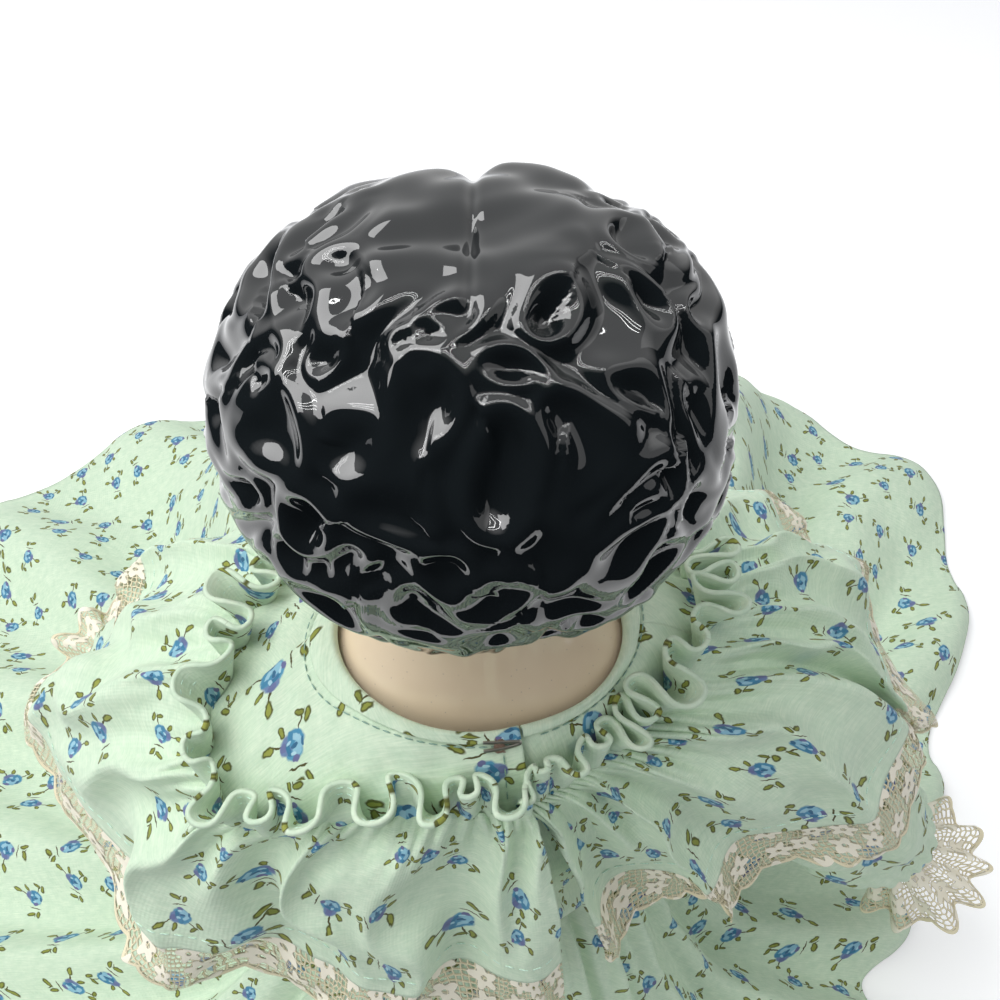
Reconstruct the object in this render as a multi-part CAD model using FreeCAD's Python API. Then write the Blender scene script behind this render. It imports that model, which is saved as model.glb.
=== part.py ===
import FreeCAD, Part
import math
import os

# A dressed china-head doll, seated on the floor with its legs forward. Lengths are in millimetres.
# +Z is up and +Y is the way the doll faces. The origin is on the floor under the neck.
V = FreeCAD.Vector
SIDES = {"left": -1, "right": 1}
UP = V(0, 0, 1)
FORWARD = V(0, 1, 0)
SIDEWAYS = V(1, 0, 0)

# Clearances and cloth
soft_gap = 0.4
seam_gap = 0.3
cloth_thickness = 1.0
dress_thickness = 1.2
lace_thickness = 0.7
overrun = 5.0
levels_per_form = 14

# Stuffed body, from its flat seat to its top inside the shoulder plate
torso_floor = 1.7
torso_top = 162.0
hip_half_width = 36.0
hip_half_depth = 28.0
torso_lean_back = 3.0
torso_shares = [
    (0.0, 0.67, 0.71),
    (0.05, 0.93, 0.94),
    (0.15, 1.0, 1.0),
    (0.32, 0.91, 0.93),
    (0.55, 0.75, 0.76),
    (0.77, 0.91, 0.82),
    (0.90, 0.96, 0.81),
    (0.97, 0.83, 0.68),
    (1.0, 0.60, 0.48),
]

# Porcelain shoulder head: plate, neck, head and moulded hair in one casting
plate_floor = 145.0
plate_half_width = 42.0
plate_half_depth = 27.2
plate_height = 47.0
plate_shares = [
    (0.0, 1.0, 1.0),
    (0.23, 0.975, 0.965),
    (0.40, 0.885, 0.895),
    (0.53, 0.713, 0.772),
    (0.64, 0.552, 0.667),
    (0.77, 0.414, 0.579),
    (0.89, 0.356, 0.530),
    (1.0, 0.350, 0.530),
]
head_floor = 188.0
head_height = 73.0
head_half_width = 35.4
head_half_depth = 31.8
head_shares = [
    (0.0, 0.402, 0.462, 0.0),
    (0.10, 0.45, 0.49, -0.02),
    (0.16, 0.60, 0.59, -0.09),
    (0.22, 0.79, 0.76, -0.11),
    (0.33, 0.943, 0.92, -0.087),
    (0.44, 0.99, 0.978, -0.097),
    (0.575, 1.0, 1.0, -0.12),
    (0.71, 0.966, 0.932, -0.115),
    (0.82, 0.876, 0.81, -0.07),
    (0.90, 0.734, 0.62, -0.055),
    (0.96, 0.52, 0.40, -0.03),
    (1.0, 0.26, 0.20, 0.0),
]
porcelain_wall = 3.2
head_wall = 4.6
curl_radius = 10.5
curl_stand = 2.3
curl_row_shares = [(0.235, 8), (0.37, 9), (0.52, 10), (0.67, 10), (0.81, 8)]
curl_stagger_shares = (0.5, 0.75)
face_half_angle = math.radians(72)
brow_share = 0.72
part_ring_radius = 33.5
part_ring_height = 228.5
part_ring_back = 2.0
part_groove_radius = 3.2
part_groove_floor = 246.0
part_groove_back = 18.0
sew_hole_radius = 1.7
sew_hole_height = 151.0
sew_hole_reach = 20.0
tie_head_radius = 2.2
tie_head_thickness = 0.7
tie_clearance = 0.25

# Limbs: cloth upper part, then porcelain plugged into its open end
shoulder_height = 150.0
arm_root_radius = 12.0
arm_cloth_length = 64.0
arm_length = 145.0
arm_cloth_shares = [(0.0, 0.95), (0.3, 0.96), (0.7, 0.80), (1.0, 0.74)]
hip_reach = 18.0
hip_forward = 38.5
hip_height = 17.0
leg_root_radius = 15.0
leg_cloth_length = 92.0
leg_length = 174.0
leg_cloth_shares = [(0.0, 0.97), (0.3, 1.0), (0.7, 0.80), (1.0, 0.64)]
leg_splay = math.radians(3)
foot_turnout = math.radians(25)
stub_length = 12.0
binding_width = 4.0
binding_thickness = 0.8
binding_setback = 3.0
arm_reach_shares = {"right": (0.57, 0.105, -0.815), "left": (-0.514, 0.522, -0.681)}

# Porcelain forearm and hand, as shares of its length and of the stub's radius
forearm_shares = [
    (0.0, 1.12, 1.12),
    (0.10, 1.10, 1.10),
    (0.35, 0.98, 0.98),
    (0.60, 0.68, 0.66),
    (0.70, 0.80, 0.58),
    (0.82, 0.98, 0.50),
    (0.93, 0.78, 0.36),
    (1.0, 0.42, 0.22),
]
thumb_length = 13.0
thumb_radius = 2.3
thumb_tip_radius = 1.6
thumb_share = 0.75
thumb_spread = math.radians(24)

# Porcelain lower leg and boot
calf_shares = [
    (0.0, 1.14, 1.14),
    (0.12, 1.18, 1.18),
    (0.32, 1.20, 1.20),
    (0.66, 0.84, 0.84),
    (0.84, 0.72, 0.72),
    (1.0, 0.80, 0.74),
]
boot_length = 36.0
boot_half_width = 7.2
boot_half_height = 7.0
boot_heel_setback = 9.0
boot_shares = [
    (0.0, 0.50, 0.72),
    (0.12, 0.80, 1.0),
    (0.42, 0.84, 0.92),
    (0.70, 1.0, 0.58),
    (0.90, 0.82, 0.42),
    (1.0, 0.45, 0.26),
]
boot_heel_radius = 4.6
boot_heel_height = 3.0

# Drawers and petticoat
drawers_floor = 0.0
drawers_top = 88.0
drawers_gap = 0.5
drawers_leg_start = 9.0
drawers_leg_length = 118.0
drawers_leg_radius = 16.6
drawers_hem_radius = 16.9
petticoat_drop = 6.5
petticoat_rings = 5
petticoat_inset = 3.5
petticoat_hem_share = 0.12
petticoat_lap_inset = math.radians(4.5)

# Bodice, from the waist seam to the round neckline
bodice_floor = 98.0
bodice_height = 76.5
bodice_half_width = 45.0
bodice_half_depth = 32.0
bodice_shares = [
    (0.0, 0.665, 0.765),
    (0.18, 0.725, 0.825),
    (0.37, 0.825, 0.905),
    (0.52, 0.945, 0.975),
    (0.65, 1.0, 1.0),
    (0.78, 0.983, 0.975),
    (0.875, 0.905, 0.92),
    (0.94, 0.765, 0.835),
    (1.0, 0.592, 0.706),
]
armhole_radius = 15.5
plate_arch_radius = 13.4
back_overlap = 4.2
binding_ring_width = 2.4
binding_ring_thickness = 1.0
hook_ring_radius = 1.5
hook_wire_radius = 0.4
hook_drop = 3.4

# Skirt: reach of the hem round the doll, from straight right, anticlockwise seen from above
waist_height = 97.7
waist_stand = 3.3
hem_reach = 288.0
hem_shares = [
    0.41, 0.50, 0.66, 0.98, 0.99, 0.975, 0.955, 0.965, 0.98, 1.0, 0.91, 0.77,
    0.65, 0.56, 0.50, 0.47, 0.45, 0.45, 0.46, 0.45, 0.45, 0.43, 0.42, 0.40,
]
# Each ring: share of the waist's height, share of the way out at the sides, the same over the legs
skirt_ring_shares = [(1.0, 0.0, 0.0), (0.92, 0.06, 0.07), (0.74, 0.13, 0.40), (0.56, 0.17, 0.78),
                     (0.185, 0.40, 0.95), (0.115, 0.66, 0.972), (0.075, 0.975, 0.99), (0.0, 1.0, 1.0)]
skirt_fold_depths = [1.0, 1.6, 3.4, 4.6, 6.5, 6.5, 6.5, 6.5]
# How far the folds rise and dip at each ring, and how strong each fold is, from straight right
skirt_fold_rises = [0.0, 0.0, 1.0, 2.0, 5.5, 5.5, 4.6, 0.0]
skirt_fold_shares = [
    1.0, 0.8, 1.1, 0.9, 0.7, 1.1, 0.85, 1.0, 0.75, 1.1, 0.95, 0.8,
    1.1, 0.9, 1.0, 0.75, 1.1, 0.85, 1.0, 0.8, 1.1, 0.9, 0.75, 1.05,
]
lap_half_angle = math.radians(24)
lap_fade_angle = math.radians(22)
skirt_sheer = 1.6
steepest_fold_share = 0.29
steepest_rise_share = 0.18
hem_band = 3.5

# Bertha ruffle: gathered on the yoke, flaring over the sleeves, with a standing heading and lace
heading_back = 161.0
heading_shoulder = 168.0
heading_stand = 3.0
heading_height = 9.0
heading_waves = 12
heading_wave_depth = 1.9
ruffle_edge_side = 104.0
ruffle_edge_back = {"left": 45.0, "right": 41.0}
ruffle_edge_front = 64.0
ruffle_edge_low = 101.0
ruffle_edge_high = 112.0
ruffle_edge_lift = 4.0
ruffle_corner_lift = 18.0
ruffle_plan_power = 0.75
ruffle_straight_side = "right"
ruffle_straight_power = 0.6
ruffle_straight_lift = 20.0
ruffle_lift_power = 0.7
ruffle_crown_share = 0.72
ruffle_crown_rise = 3.0
ruffle_folds = 7
ruffle_fold_depth = 4.0
ruffle_rows = 4
lace_start_share = 0.78
ruffle_slope_share = 0.01
ruffle_parting = {"left": (3.0, 3.0), "right": (4.4, 18.0)}

# Sleeves and cuffs
sleeve_shares = [(0.0, 0.80), (0.10, 0.95), (0.27, 1.0), (0.62, 0.97), (0.88, 0.76), (1.0, 0.42)]
sleeve_radius = 18.5
sleeve_start = 2.0
sleeve_length = 111.0
sleeve_side_gap = 0.6
cuff_width = 5.0
cuff_thickness = 1.6
frill_length = 17.0
frill_radius = 19.0
frill_folds = 9
frill_fold_depth = 2.2
frill_ring_shares = (0.0, 0.5, 1.0)


def share_at(table, share, column=1):
    """One column of a table of shares, read smoothly at a share of its length."""
    rows = [(row[0], row[column]) for row in table]
    last = len(rows) - 1
    share = min(max(share, rows[0][0]), rows[last][0])

    def slope(index):
        low, high = max(index - 1, 0), min(index + 1, last)
        return (rows[high][1] - rows[low][1]) / (rows[high][0] - rows[low][0])

    index = max(i for i in range(last) if rows[i][0] <= share)
    start, end = rows[index], rows[index + 1]
    span = end[0] - start[0]
    t = (share - start[0]) / span
    rise = 3 * t**2 - 2 * t**3
    swing = slope(index) * (t**3 - 2 * t**2 + t) + slope(index + 1) * (t**3 - t**2)
    return start[1] + (end[1] - start[1]) * rise + span * swing


def three_point_arcs(points):
    """Arcs through each run of three points, every second point being shared by two arcs."""
    steps = range(0, len(points) - 2, 2)
    return [Part.Arc(points[i], points[i + 1], points[i + 2]).toShape() for i in steps]


def oval(half_width, half_depth, height, centre_y=0.0):
    """A closed ring of four arcs, level at the given height."""
    turns = [math.tau * i / 8 for i in range(9)]
    turns[-1] = 0.0
    points = [V(half_width * math.cos(a), centre_y + half_depth * math.sin(a), height) for a in turns]
    return Part.Wire(three_point_arcs(points))


def loft(wires, ruled=False):
    return Part.makeLoft(wires, True, ruled)


def even_steps(low, high, count=levels_per_form):
    return [low + (high - low) * i / (count - 1) for i in range(count)]


def table_heights(table, base, span, low, high):
    """The heights of a table's rows and of the places half way between, kept between low and high."""
    shares = [row[0] for row in table]
    shares += [(a + b) / 2 for a, b in zip(shares, shares[1:])]
    inside = [base + span * share for share in sorted(shares)]
    close = (high - low) / (2 * len(shares))
    return [low] + [height for height in inside if low + close < height < high - close] + [high]


def oval_loft(size_at, heights, offset=0.0):
    """A solid through level ovals. size_at gives half width, half depth and centre at a height."""
    wires = []
    for height in heights:
        half_width, half_depth, centre = size_at(height)
        wires.append(oval(half_width + offset, half_depth + offset, height, centre))
    return loft(wires)


def seat_reach(radius, height):
    """How far from the middle a ball of this radius sits when it just clears the torso's side."""
    reaches = []
    for drop in even_steps(-radius, radius):
        reaches.append(torso_size(height + drop)[0] + math.sqrt(radius**2 - drop**2))
    return max(reaches) + soft_gap


def shoulder_reach():
    return seat_reach(arm_root_radius, shoulder_height)


def torso_heights(low, high):
    return table_heights(torso_shares, torso_floor, torso_top - torso_floor, low, high)


def plate_heights():
    return table_heights(plate_shares, plate_floor, plate_height, plate_floor, plate_floor + plate_height)


def head_heights(top):
    return table_heights(head_shares, head_floor, head_height, head_floor, top)


def bodice_heights():
    top = bodice_floor + bodice_height
    return table_heights(bodice_shares, bodice_floor, bodice_height, bodice_floor, top)


def torso_size(height):
    share = (height - torso_floor) / (torso_top - torso_floor)
    centre = -torso_lean_back * (1 - share)
    return hip_half_width * share_at(torso_shares, share), hip_half_depth * share_at(torso_shares, share, 2), centre


def plate_size(height):
    share = (height - plate_floor) / plate_height
    return plate_half_width * share_at(plate_shares, share), plate_half_depth * share_at(plate_shares, share, 2), 0.0


def head_size(height):
    share = (height - head_floor) / head_height
    centre = head_half_depth * share_at(head_shares, share, 3)
    return head_half_width * share_at(head_shares, share), head_half_depth * share_at(head_shares, share, 2), centre


def bodice_size(height):
    share = (height - bodice_floor) / bodice_height
    return (bodice_half_width * share_at(bodice_shares, share),
            bodice_half_depth * share_at(bodice_shares, share, 2), 0.0)


def oval_depth_at(size, x):
    """How far an oval reaches along Y at a place across it, on the arc that makes its quarter."""
    half_width, half_depth, _ = size
    middle = V(half_width * math.cos(math.pi / 4), half_depth * math.sin(math.pi / 4), 0)
    circle = Part.Arc(V(half_width, 0, 0), middle, V(0, half_depth, 0)).toShape().Curve
    return circle.Center.y + math.sqrt(circle.Radius**2 - (x - circle.Center.x) ** 2)


def side_cylinder(radius, side):
    """A cylinder along X through a shoulder, from inside the body to well outside it."""
    start = V(side * (shoulder_reach() - arm_root_radius - overrun), 0, shoulder_height)
    length = arm_root_radius + plate_half_width
    return Part.makeCylinder(radius, length, start, SIDEWAYS * side)


def slab(low, high):
    """A box between two corners."""
    size = high.sub(low)
    return Part.makeBox(size.x, size.y, size.z, low)


def make_torso():
    outer = oval_loft(torso_size, torso_heights(torso_floor, torso_top))
    inner_heights = torso_heights(torso_floor + cloth_thickness, torso_top - cloth_thickness)
    inner = oval_loft(torso_size, inner_heights, -cloth_thickness)
    return {"torso_cover": outer.cut(inner), "torso_stuffing": inner}


def curl_places():
    """Centres of the moulded curls: rows round the head that leave the face bare below the brow."""
    places = []
    for row, (share, count) in enumerate(curl_row_shares):
        height = head_floor + head_height * share
        half_width, half_depth, centre = head_size(height)
        bare = face_half_angle if share < brow_share else 0.0
        sweep = math.tau - 2 * bare
        for i in range(count):
            angle = math.pi / 2 + bare + sweep * (i + curl_stagger_shares[row % 2]) / count
            sink = curl_radius - curl_stand
            places.append(V((half_width - sink) * math.cos(angle),
                            centre + (half_depth - sink) * math.sin(angle), height))
    return places


def make_part_groove():
    """The centre parting: a round groove over the crown, from the brow to a little behind the top."""
    ring = Part.makeTorus(part_ring_radius, part_groove_radius, V(0, -part_ring_back, part_ring_height), SIDEWAYS)
    far = part_ring_radius + part_groove_radius + overrun
    kept = slab(V(-far, -part_groove_back, part_groove_floor), V(far, far, part_ring_height + far))
    return ring.common(kept)


def make_shoulder_head():
    plate = oval_loft(plate_size, plate_heights())
    head = oval_loft(head_size, head_heights(head_floor + head_height))
    solid = head.fuse(plate)
    for place in curl_places():
        solid = solid.fuse(Part.makeSphere(curl_radius, place))
    plate_hollow = oval_loft(plate_size, plate_heights(), -porcelain_wall)
    head_hollow = oval_loft(head_size, head_heights(head_floor + head_height - head_wall), -head_wall)
    solid = solid.cut([plate_hollow, head_hollow])
    solid = solid.cut(make_part_groove())
    cuts = [side_cylinder(plate_arch_radius, side) for side in SIDES.values()]
    for x in (-sew_hole_reach, sew_hole_reach):
        start = V(x, -plate_half_depth - overrun, sew_hole_height)
        cuts.append(Part.makeCylinder(sew_hole_radius, 2 * (plate_half_depth + overrun), start, FORWARD))
    return solid.cut(cuts)


def make_plate_ties():
    """Four ties through the plate's holes, each ending in a flat knot outside."""
    ties = []
    shank_radius = sew_hole_radius - tie_clearance
    torso_here = torso_size(sew_hole_height - shank_radius)
    plate_here = plate_size(sew_hole_height - tie_head_radius)
    for side in (-1, 1):
        x = side * sew_hole_reach
        for face in (-1, 1):
            torso_depth = oval_depth_at(torso_here, sew_hole_reach - shank_radius)
            inside = torso_here[2] + face * (torso_depth + soft_gap)
            outside = face * (oval_depth_at(plate_here, sew_hole_reach - tie_head_radius) + tie_clearance)
            direction = FORWARD * face
            shank = Part.makeCylinder(shank_radius, abs(outside - inside),
                                      V(x, inside, sew_hole_height), direction)
            knot = Part.makeCylinder(tie_head_radius, tie_head_thickness, V(x, outside, sew_hole_height), direction)
            ties.append(shank.fuse(knot))
    return Part.makeCompound(ties)


def limb_place(pivot, direction, toward):
    """Where a limb modelled up its own Z axis goes: its axis, and the side that its X faces."""
    z_axis = V(direction).normalize()
    x_axis = toward.sub(z_axis * toward.dot(z_axis)).normalize()
    y_axis = z_axis.cross(x_axis)
    return FreeCAD.Placement(FreeCAD.Matrix(
        x_axis.x, y_axis.x, z_axis.x, pivot.x,
        x_axis.y, y_axis.y, z_axis.y, pivot.y,
        x_axis.z, y_axis.z, z_axis.z, pivot.z))


def placed(shape, place):
    copy = shape.copy()
    copy.Placement = place.multiply(copy.Placement)
    return copy


def round_loft(table, radius, length, start=0.0, offset=0.0, levels=levels_per_form):
    """A round form along Z whose radius follows a table of shares."""
    wires = []
    for height in even_steps(start, start + length, levels):
        size = radius * share_at(table, (height - start) / length) + offset
        wires.append(oval(size, size, height))
    return loft(wires)


def stuffed_limb(table, root_radius, length):
    """Cover and stuffing of a cloth limb with a ball end at its seam and an open far end."""
    end_radius = root_radius * table[-1][1]
    stub_radius = end_radius - cloth_thickness
    ball = Part.makeSphere(root_radius)
    outer = ball.fuse(round_loft(table, root_radius, length))
    inner_ball = Part.makeSphere(root_radius - cloth_thickness)
    inner = inner_ball.fuse(round_loft(table, root_radius, length, offset=-cloth_thickness))
    plug = slab(V(-root_radius, -root_radius, length - stub_length), V(root_radius, root_radius, length))
    cover = outer.cut(inner)
    return {"cover": cover, "stuffing": inner.cut(plug), "stub_radius": stub_radius - seam_gap / 2}


def binding_ring(table, root_radius, length):
    """The thread wound round the cloth where the porcelain is tied in."""
    start = length - binding_setback - binding_width
    inner = root_radius * share_at(table, start / length) + seam_gap / 2
    ring = Part.makeCylinder(inner + binding_thickness, binding_width, V(0, 0, start))
    return ring.cut(Part.makeCylinder(inner, binding_width, V(0, 0, start)))


def porcelain_shaft(table, stub_radius, cloth_end, end):
    """A plain stub that goes into the cloth, then a shaft whose widths follow a table of shares."""
    stub = Part.makeCylinder(stub_radius, stub_length + seam_gap, V(0, 0, cloth_end - stub_length))
    start = cloth_end + seam_gap
    wires = []
    for height in table_heights(table, start, end - start, start, end):
        share = (height - start) / (end - start)
        width, depth = share_at(table, share), share_at(table, share, 2)
        wires.append(oval(stub_radius * width, stub_radius * depth, height))
    return stub.fuse(loft(wires))


def make_forearm(stub_radius):
    length = arm_length - arm_cloth_length
    shaft = porcelain_shaft(forearm_shares, stub_radius, arm_cloth_length, arm_length)
    thumb = Part.makeCone(thumb_radius, thumb_tip_radius, thumb_length)
    thumb = thumb.fuse([Part.makeSphere(thumb_radius), Part.makeSphere(thumb_tip_radius, V(0, 0, thumb_length))])
    thumb.rotate(V(0, 0, 0), FORWARD, math.degrees(thumb_spread))
    palm_half_width = stub_radius * share_at(forearm_shares, thumb_share)
    thumb.translate(V(palm_half_width - thumb_radius, 0, arm_cloth_length + length * thumb_share))
    return shaft.fuse(thumb)


def make_lower_leg(stub_radius):
    """Calf, ankle and boot. The toe points along local X and the sole faces away from the hip."""
    sole = leg_length - boot_heel_height
    calf = porcelain_shaft(calf_shares, stub_radius, leg_cloth_length, sole - boot_half_height)
    wires = []
    for share in even_steps(0.0, 1.0):
        half_width = boot_half_width * share_at(boot_shares, share)
        half_height = boot_half_height * share_at(boot_shares, share, 2)
        wire = oval(half_height, half_width, boot_length * share)
        wire.translate(V(-half_height, 0, 0))
        wires.append(wire)
    boot = loft(wires)
    toe_frame = FreeCAD.Placement(FreeCAD.Matrix(
        0, 0, 1, -boot_heel_setback,
        0, -1, 0, 0,
        1, 0, 0, sole))
    boot = placed(boot, toe_frame)
    heel_start = V(-boot_heel_setback + boot_heel_radius + seam_gap, 0, sole - boot_half_height)
    heel = Part.makeCylinder(boot_heel_radius, boot_half_height + boot_heel_height, heel_start)
    return calf.fuse([boot, heel])


def make_arms():
    nodes = {}
    limb = stuffed_limb(arm_cloth_shares, arm_root_radius, arm_cloth_length)
    pieces = {
        "upper_arm_cover": limb["cover"],
        "upper_arm_stuffing": limb["stuffing"],
        "arm_binding": binding_ring(arm_cloth_shares, arm_root_radius, arm_cloth_length),
        "forearm_and_hand": make_forearm(limb["stub_radius"]),
    }
    pieces.update(make_sleeve_pieces(limb["stub_radius"]))
    for name, side in SIDES.items():
        pivot = V(side * shoulder_reach(), 0, shoulder_height)
        place = limb_place(pivot, V(*arm_reach_shares[name]), FORWARD)
        for piece, shape in pieces.items():
            nodes[f"{piece}_{name}"] = placed(shape, place)
        # The sleeve's head is trimmed square to the shoulder's axis, so it turns clear of the bodice.
        inner_edge = bodice_half_width + sleeve_side_gap
        keep_out = slab(V(-inner_edge, -arm_length, 0), V(inner_edge, arm_length, shoulder_height + arm_length))
        nodes[f"sleeve_{name}"] = nodes[f"sleeve_{name}"].cut(keep_out)
    return nodes


def make_legs():
    nodes = {}
    limb = stuffed_limb(leg_cloth_shares, leg_root_radius, leg_cloth_length)
    pieces = {
        "thigh_cover": limb["cover"],
        "thigh_stuffing": limb["stuffing"],
        "leg_binding": binding_ring(leg_cloth_shares, leg_root_radius, leg_cloth_length),
        "lower_leg_and_boot": make_lower_leg(limb["stub_radius"]),
        "drawers_leg": make_drawers_leg(),
    }
    for name, side in SIDES.items():
        pivot = V(side * hip_reach, hip_forward, hip_height)
        direction = V(side * math.sin(leg_splay), math.cos(leg_splay), 0)
        toe = V(side * math.sin(foot_turnout), 0, math.cos(foot_turnout))
        place = limb_place(pivot, direction, toe)
        for piece, shape in pieces.items():
            nodes[f"{piece}_{name}"] = placed(shape, place)
    return nodes


def tube(outer_wires, inner_wires, ruled=False):
    return loft(outer_wires, ruled).cut(loft(inner_wires, ruled))


def make_drawers_leg():
    heights = even_steps(drawers_leg_start, drawers_leg_length, levels_per_form // 2)
    outer, inner = [], []
    for height in heights:
        share = (height - drawers_leg_start) / (drawers_leg_length - drawers_leg_start)
        radius = drawers_leg_radius + (drawers_hem_radius - drawers_leg_radius) * share
        outer.append(oval(radius, radius, height))
        inner.append(oval(radius - cloth_thickness, radius - cloth_thickness, height))
    return tube(outer, inner)


def make_drawers_seat():
    """The drawers round the hips: closed and flat under the seat, open at the waist and for the legs."""
    heights = torso_heights(torso_floor, torso_top)
    outer = oval_loft(torso_size, heights, drawers_gap + cloth_thickness)
    low_size = torso_size(torso_floor)
    base_wire = oval(low_size[0] + drawers_gap + cloth_thickness, low_size[1] + drawers_gap + cloth_thickness,
                     torso_floor, low_size[2])
    base = Part.Face(base_wire).extrude(V(0, 0, drawers_floor - torso_floor))
    inner = oval_loft(torso_size, heights, drawers_gap)
    inner_wire = oval(low_size[0] + drawers_gap, low_size[1] + drawers_gap, torso_floor, low_size[2])
    inner_base = Part.Face(inner_wire).extrude(V(0, 0, -drawers_gap))
    seat = outer.fuse(base).cut([inner, inner_base])
    holes = []
    for side in SIDES.values():
        pivot = V(side * hip_reach, hip_forward, hip_height)
        holes.append(Part.makeSphere(leg_root_radius + soft_gap, pivot))
    far = hip_half_width + overrun
    above_waist = slab(V(-far, -far, drawers_top), V(far, far, torso_top + overrun))
    return seat.cut(holes + [above_waist])


def lap_share(angle, inset):
    """How much of a direction lies over the outstretched legs."""
    away = abs(math.remainder(angle - math.pi / 2, math.tau)) + inset
    return min(1.0, max(0.0, 1 - (away - lap_half_angle) / lap_fade_angle))


def hem_reach_at(angle):
    count = len(hem_shares)
    place = (angle / math.tau * count) % count
    index = int(place)
    here, after = hem_shares[index], hem_shares[(index + 1) % count]
    return hem_reach * (here + (after - here) * (place - index))


def waist_reach_at(angle):
    half_width, half_depth, centre = torso_size(waist_height)
    half_width, half_depth = half_width + waist_stand + dress_thickness, half_depth + waist_stand + dress_thickness
    ring = 1 / math.sqrt((math.cos(angle) / half_width) ** 2 + (math.sin(angle) / half_depth) ** 2)
    return ring + centre * math.sin(angle)


def folded_ring(reach_at, fold_depth, height, folds, rise=0.0, fold_shares=(1.0,)):
    """A closed ring of arcs: out over each fold, in between folds. Narrow folds stay shallow.

    The ring is level, or rises over its folds and dips between them.
    """
    points = []
    for i in range(4 * folds + 1):
        step = i % (4 * folds)
        angle = math.tau * step / (4 * folds)
        wave = math.sin(math.tau * step / 4) * fold_shares[(step // 4) % len(fold_shares)]
        half_fold = math.pi * reach_at(angle) / folds
        reach = reach_at(angle) + min(fold_depth, steepest_fold_share * half_fold) * wave
        lift = min(rise, steepest_rise_share * half_fold) * wave
        points.append(V(reach * math.cos(angle), reach * math.sin(angle), height + lift))
    return Part.Wire(three_point_arcs(points))


def skirt_reach(side_share, front_share, lap_inset=0.0):
    def reach_at(angle):
        lap = lap_share(angle, lap_inset)
        share = side_share + (front_share - side_share) * lap
        return waist_reach_at(angle) + share * (hem_reach_at(angle) - waist_reach_at(angle))
    return reach_at


def lifted(reach_at, change):
    return lambda angle: reach_at(angle) + change


def make_skirt():
    outer, inner = [], []
    folds = len(hem_shares)
    for shares, fold, rise in zip(skirt_ring_shares, skirt_fold_depths, skirt_fold_rises):
        height_share, side_share, front_share = shares
        reach_at = skirt_reach(side_share, front_share)
        height = waist_height * height_share
        at_hem = height_share == skirt_ring_shares[-1][0]
        at_waist = height_share == skirt_ring_shares[0][0]
        outer.append(folded_ring(reach_at, fold, height, folds, rise, skirt_fold_shares))
        sheer = 0.0 if at_hem or at_waist else skirt_sheer
        inset = hem_band if shares in skirt_ring_shares[-2:] else dress_thickness
        inner.append(folded_ring(lifted(reach_at, -inset), fold, height - sheer, folds, rise, skirt_fold_shares))
    return tube(outer, inner, ruled=True)


def make_petticoat():
    """A plainer skirt under the skirt. Its hem meets the floor just inside the skirt's lowest slope."""
    outer, inner = [], []
    folds = len(hem_shares)
    rings = list(zip(skirt_ring_shares, skirt_fold_depths))[1:petticoat_rings]
    rings.append((skirt_ring_shares[petticoat_rings - 1], skirt_fold_depths[-1]))
    for (height_share, side_share, front_share), fold in rings:
        at_hem = len(outer) == len(rings) - 1
        if at_hem:
            side_share += petticoat_hem_share * (1 - side_share)
            front_share += petticoat_hem_share * (1 - front_share)
        reach_at = lifted(skirt_reach(side_share, front_share, petticoat_lap_inset), -petticoat_inset - fold)
        height = 0.0 if at_hem else waist_height * height_share - petticoat_drop
        outer.append(folded_ring(reach_at, cloth_thickness, height, folds))
        at_waist = len(outer) == 1
        sheer = 0.0 if at_hem or at_waist else skirt_sheer
        inner.append(folded_ring(lifted(reach_at, -dress_thickness), cloth_thickness, height - sheer, folds))
    return tube(outer, inner, ruled=True)


def make_bodice():
    """Front and two backs. The left back laps past the middle, as far as the right one starts."""
    top = bodice_floor + bodice_height
    outer = oval_loft(bodice_size, bodice_heights())
    inner = oval_loft(bodice_size, bodice_heights(), -dress_thickness)
    shell = outer.cut([inner] + [side_cylinder(armhole_radius, side) for side in SIDES.values()])
    far = bodice_half_width + overrun
    low, high = bodice_floor - overrun, top + overrun
    half_seam = seam_gap / 2
    parts = {
        "bodice_front": slab(V(-far, half_seam, low), V(far, far, high)),
        "bodice_back_left": slab(V(-far, -far, low), V(back_overlap - half_seam, -half_seam, high)),
        "bodice_back_right": slab(V(back_overlap + half_seam, -far, low), V(far, -half_seam, high)),
    }
    return {name: shell.common(region) for name, region in parts.items()}


def make_neck_binding():
    """The narrow strip that finishes the neckline, open at the centre back."""
    top = bodice_floor + bodice_height
    half_width, half_depth, _ = bodice_size(top)
    low = top + seam_gap / 2
    outer = Part.Face(oval(half_width, half_depth, low))
    inner = Part.Face(oval(half_width - binding_ring_width, half_depth - binding_ring_width, low))
    ring = outer.cut(inner).extrude(V(0, 0, binding_ring_thickness))
    half_seam = seam_gap / 2
    slit = slab(V(back_overlap - half_seam, -bodice_half_depth, low - overrun),
                V(back_overlap + half_seam, 0, low + overrun))
    return ring.cut(slit)


def make_back_hook():
    """Hook and eye at the top of the back opening, lying on the two backs."""
    height = bodice_floor + bodice_height - hook_drop
    rings = []
    for side in (-1, 1):
        x = back_overlap + side * (hook_ring_radius + hook_wire_radius + seam_gap)
        low_size = bodice_size(height - hook_ring_radius - hook_wire_radius)
        y = -oval_depth_at(low_size, x) - hook_wire_radius - seam_gap
        rings.append(Part.makeTorus(hook_ring_radius, hook_wire_radius, V(x, y, height), FORWARD))
    return Part.makeCompound(rings)


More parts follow.
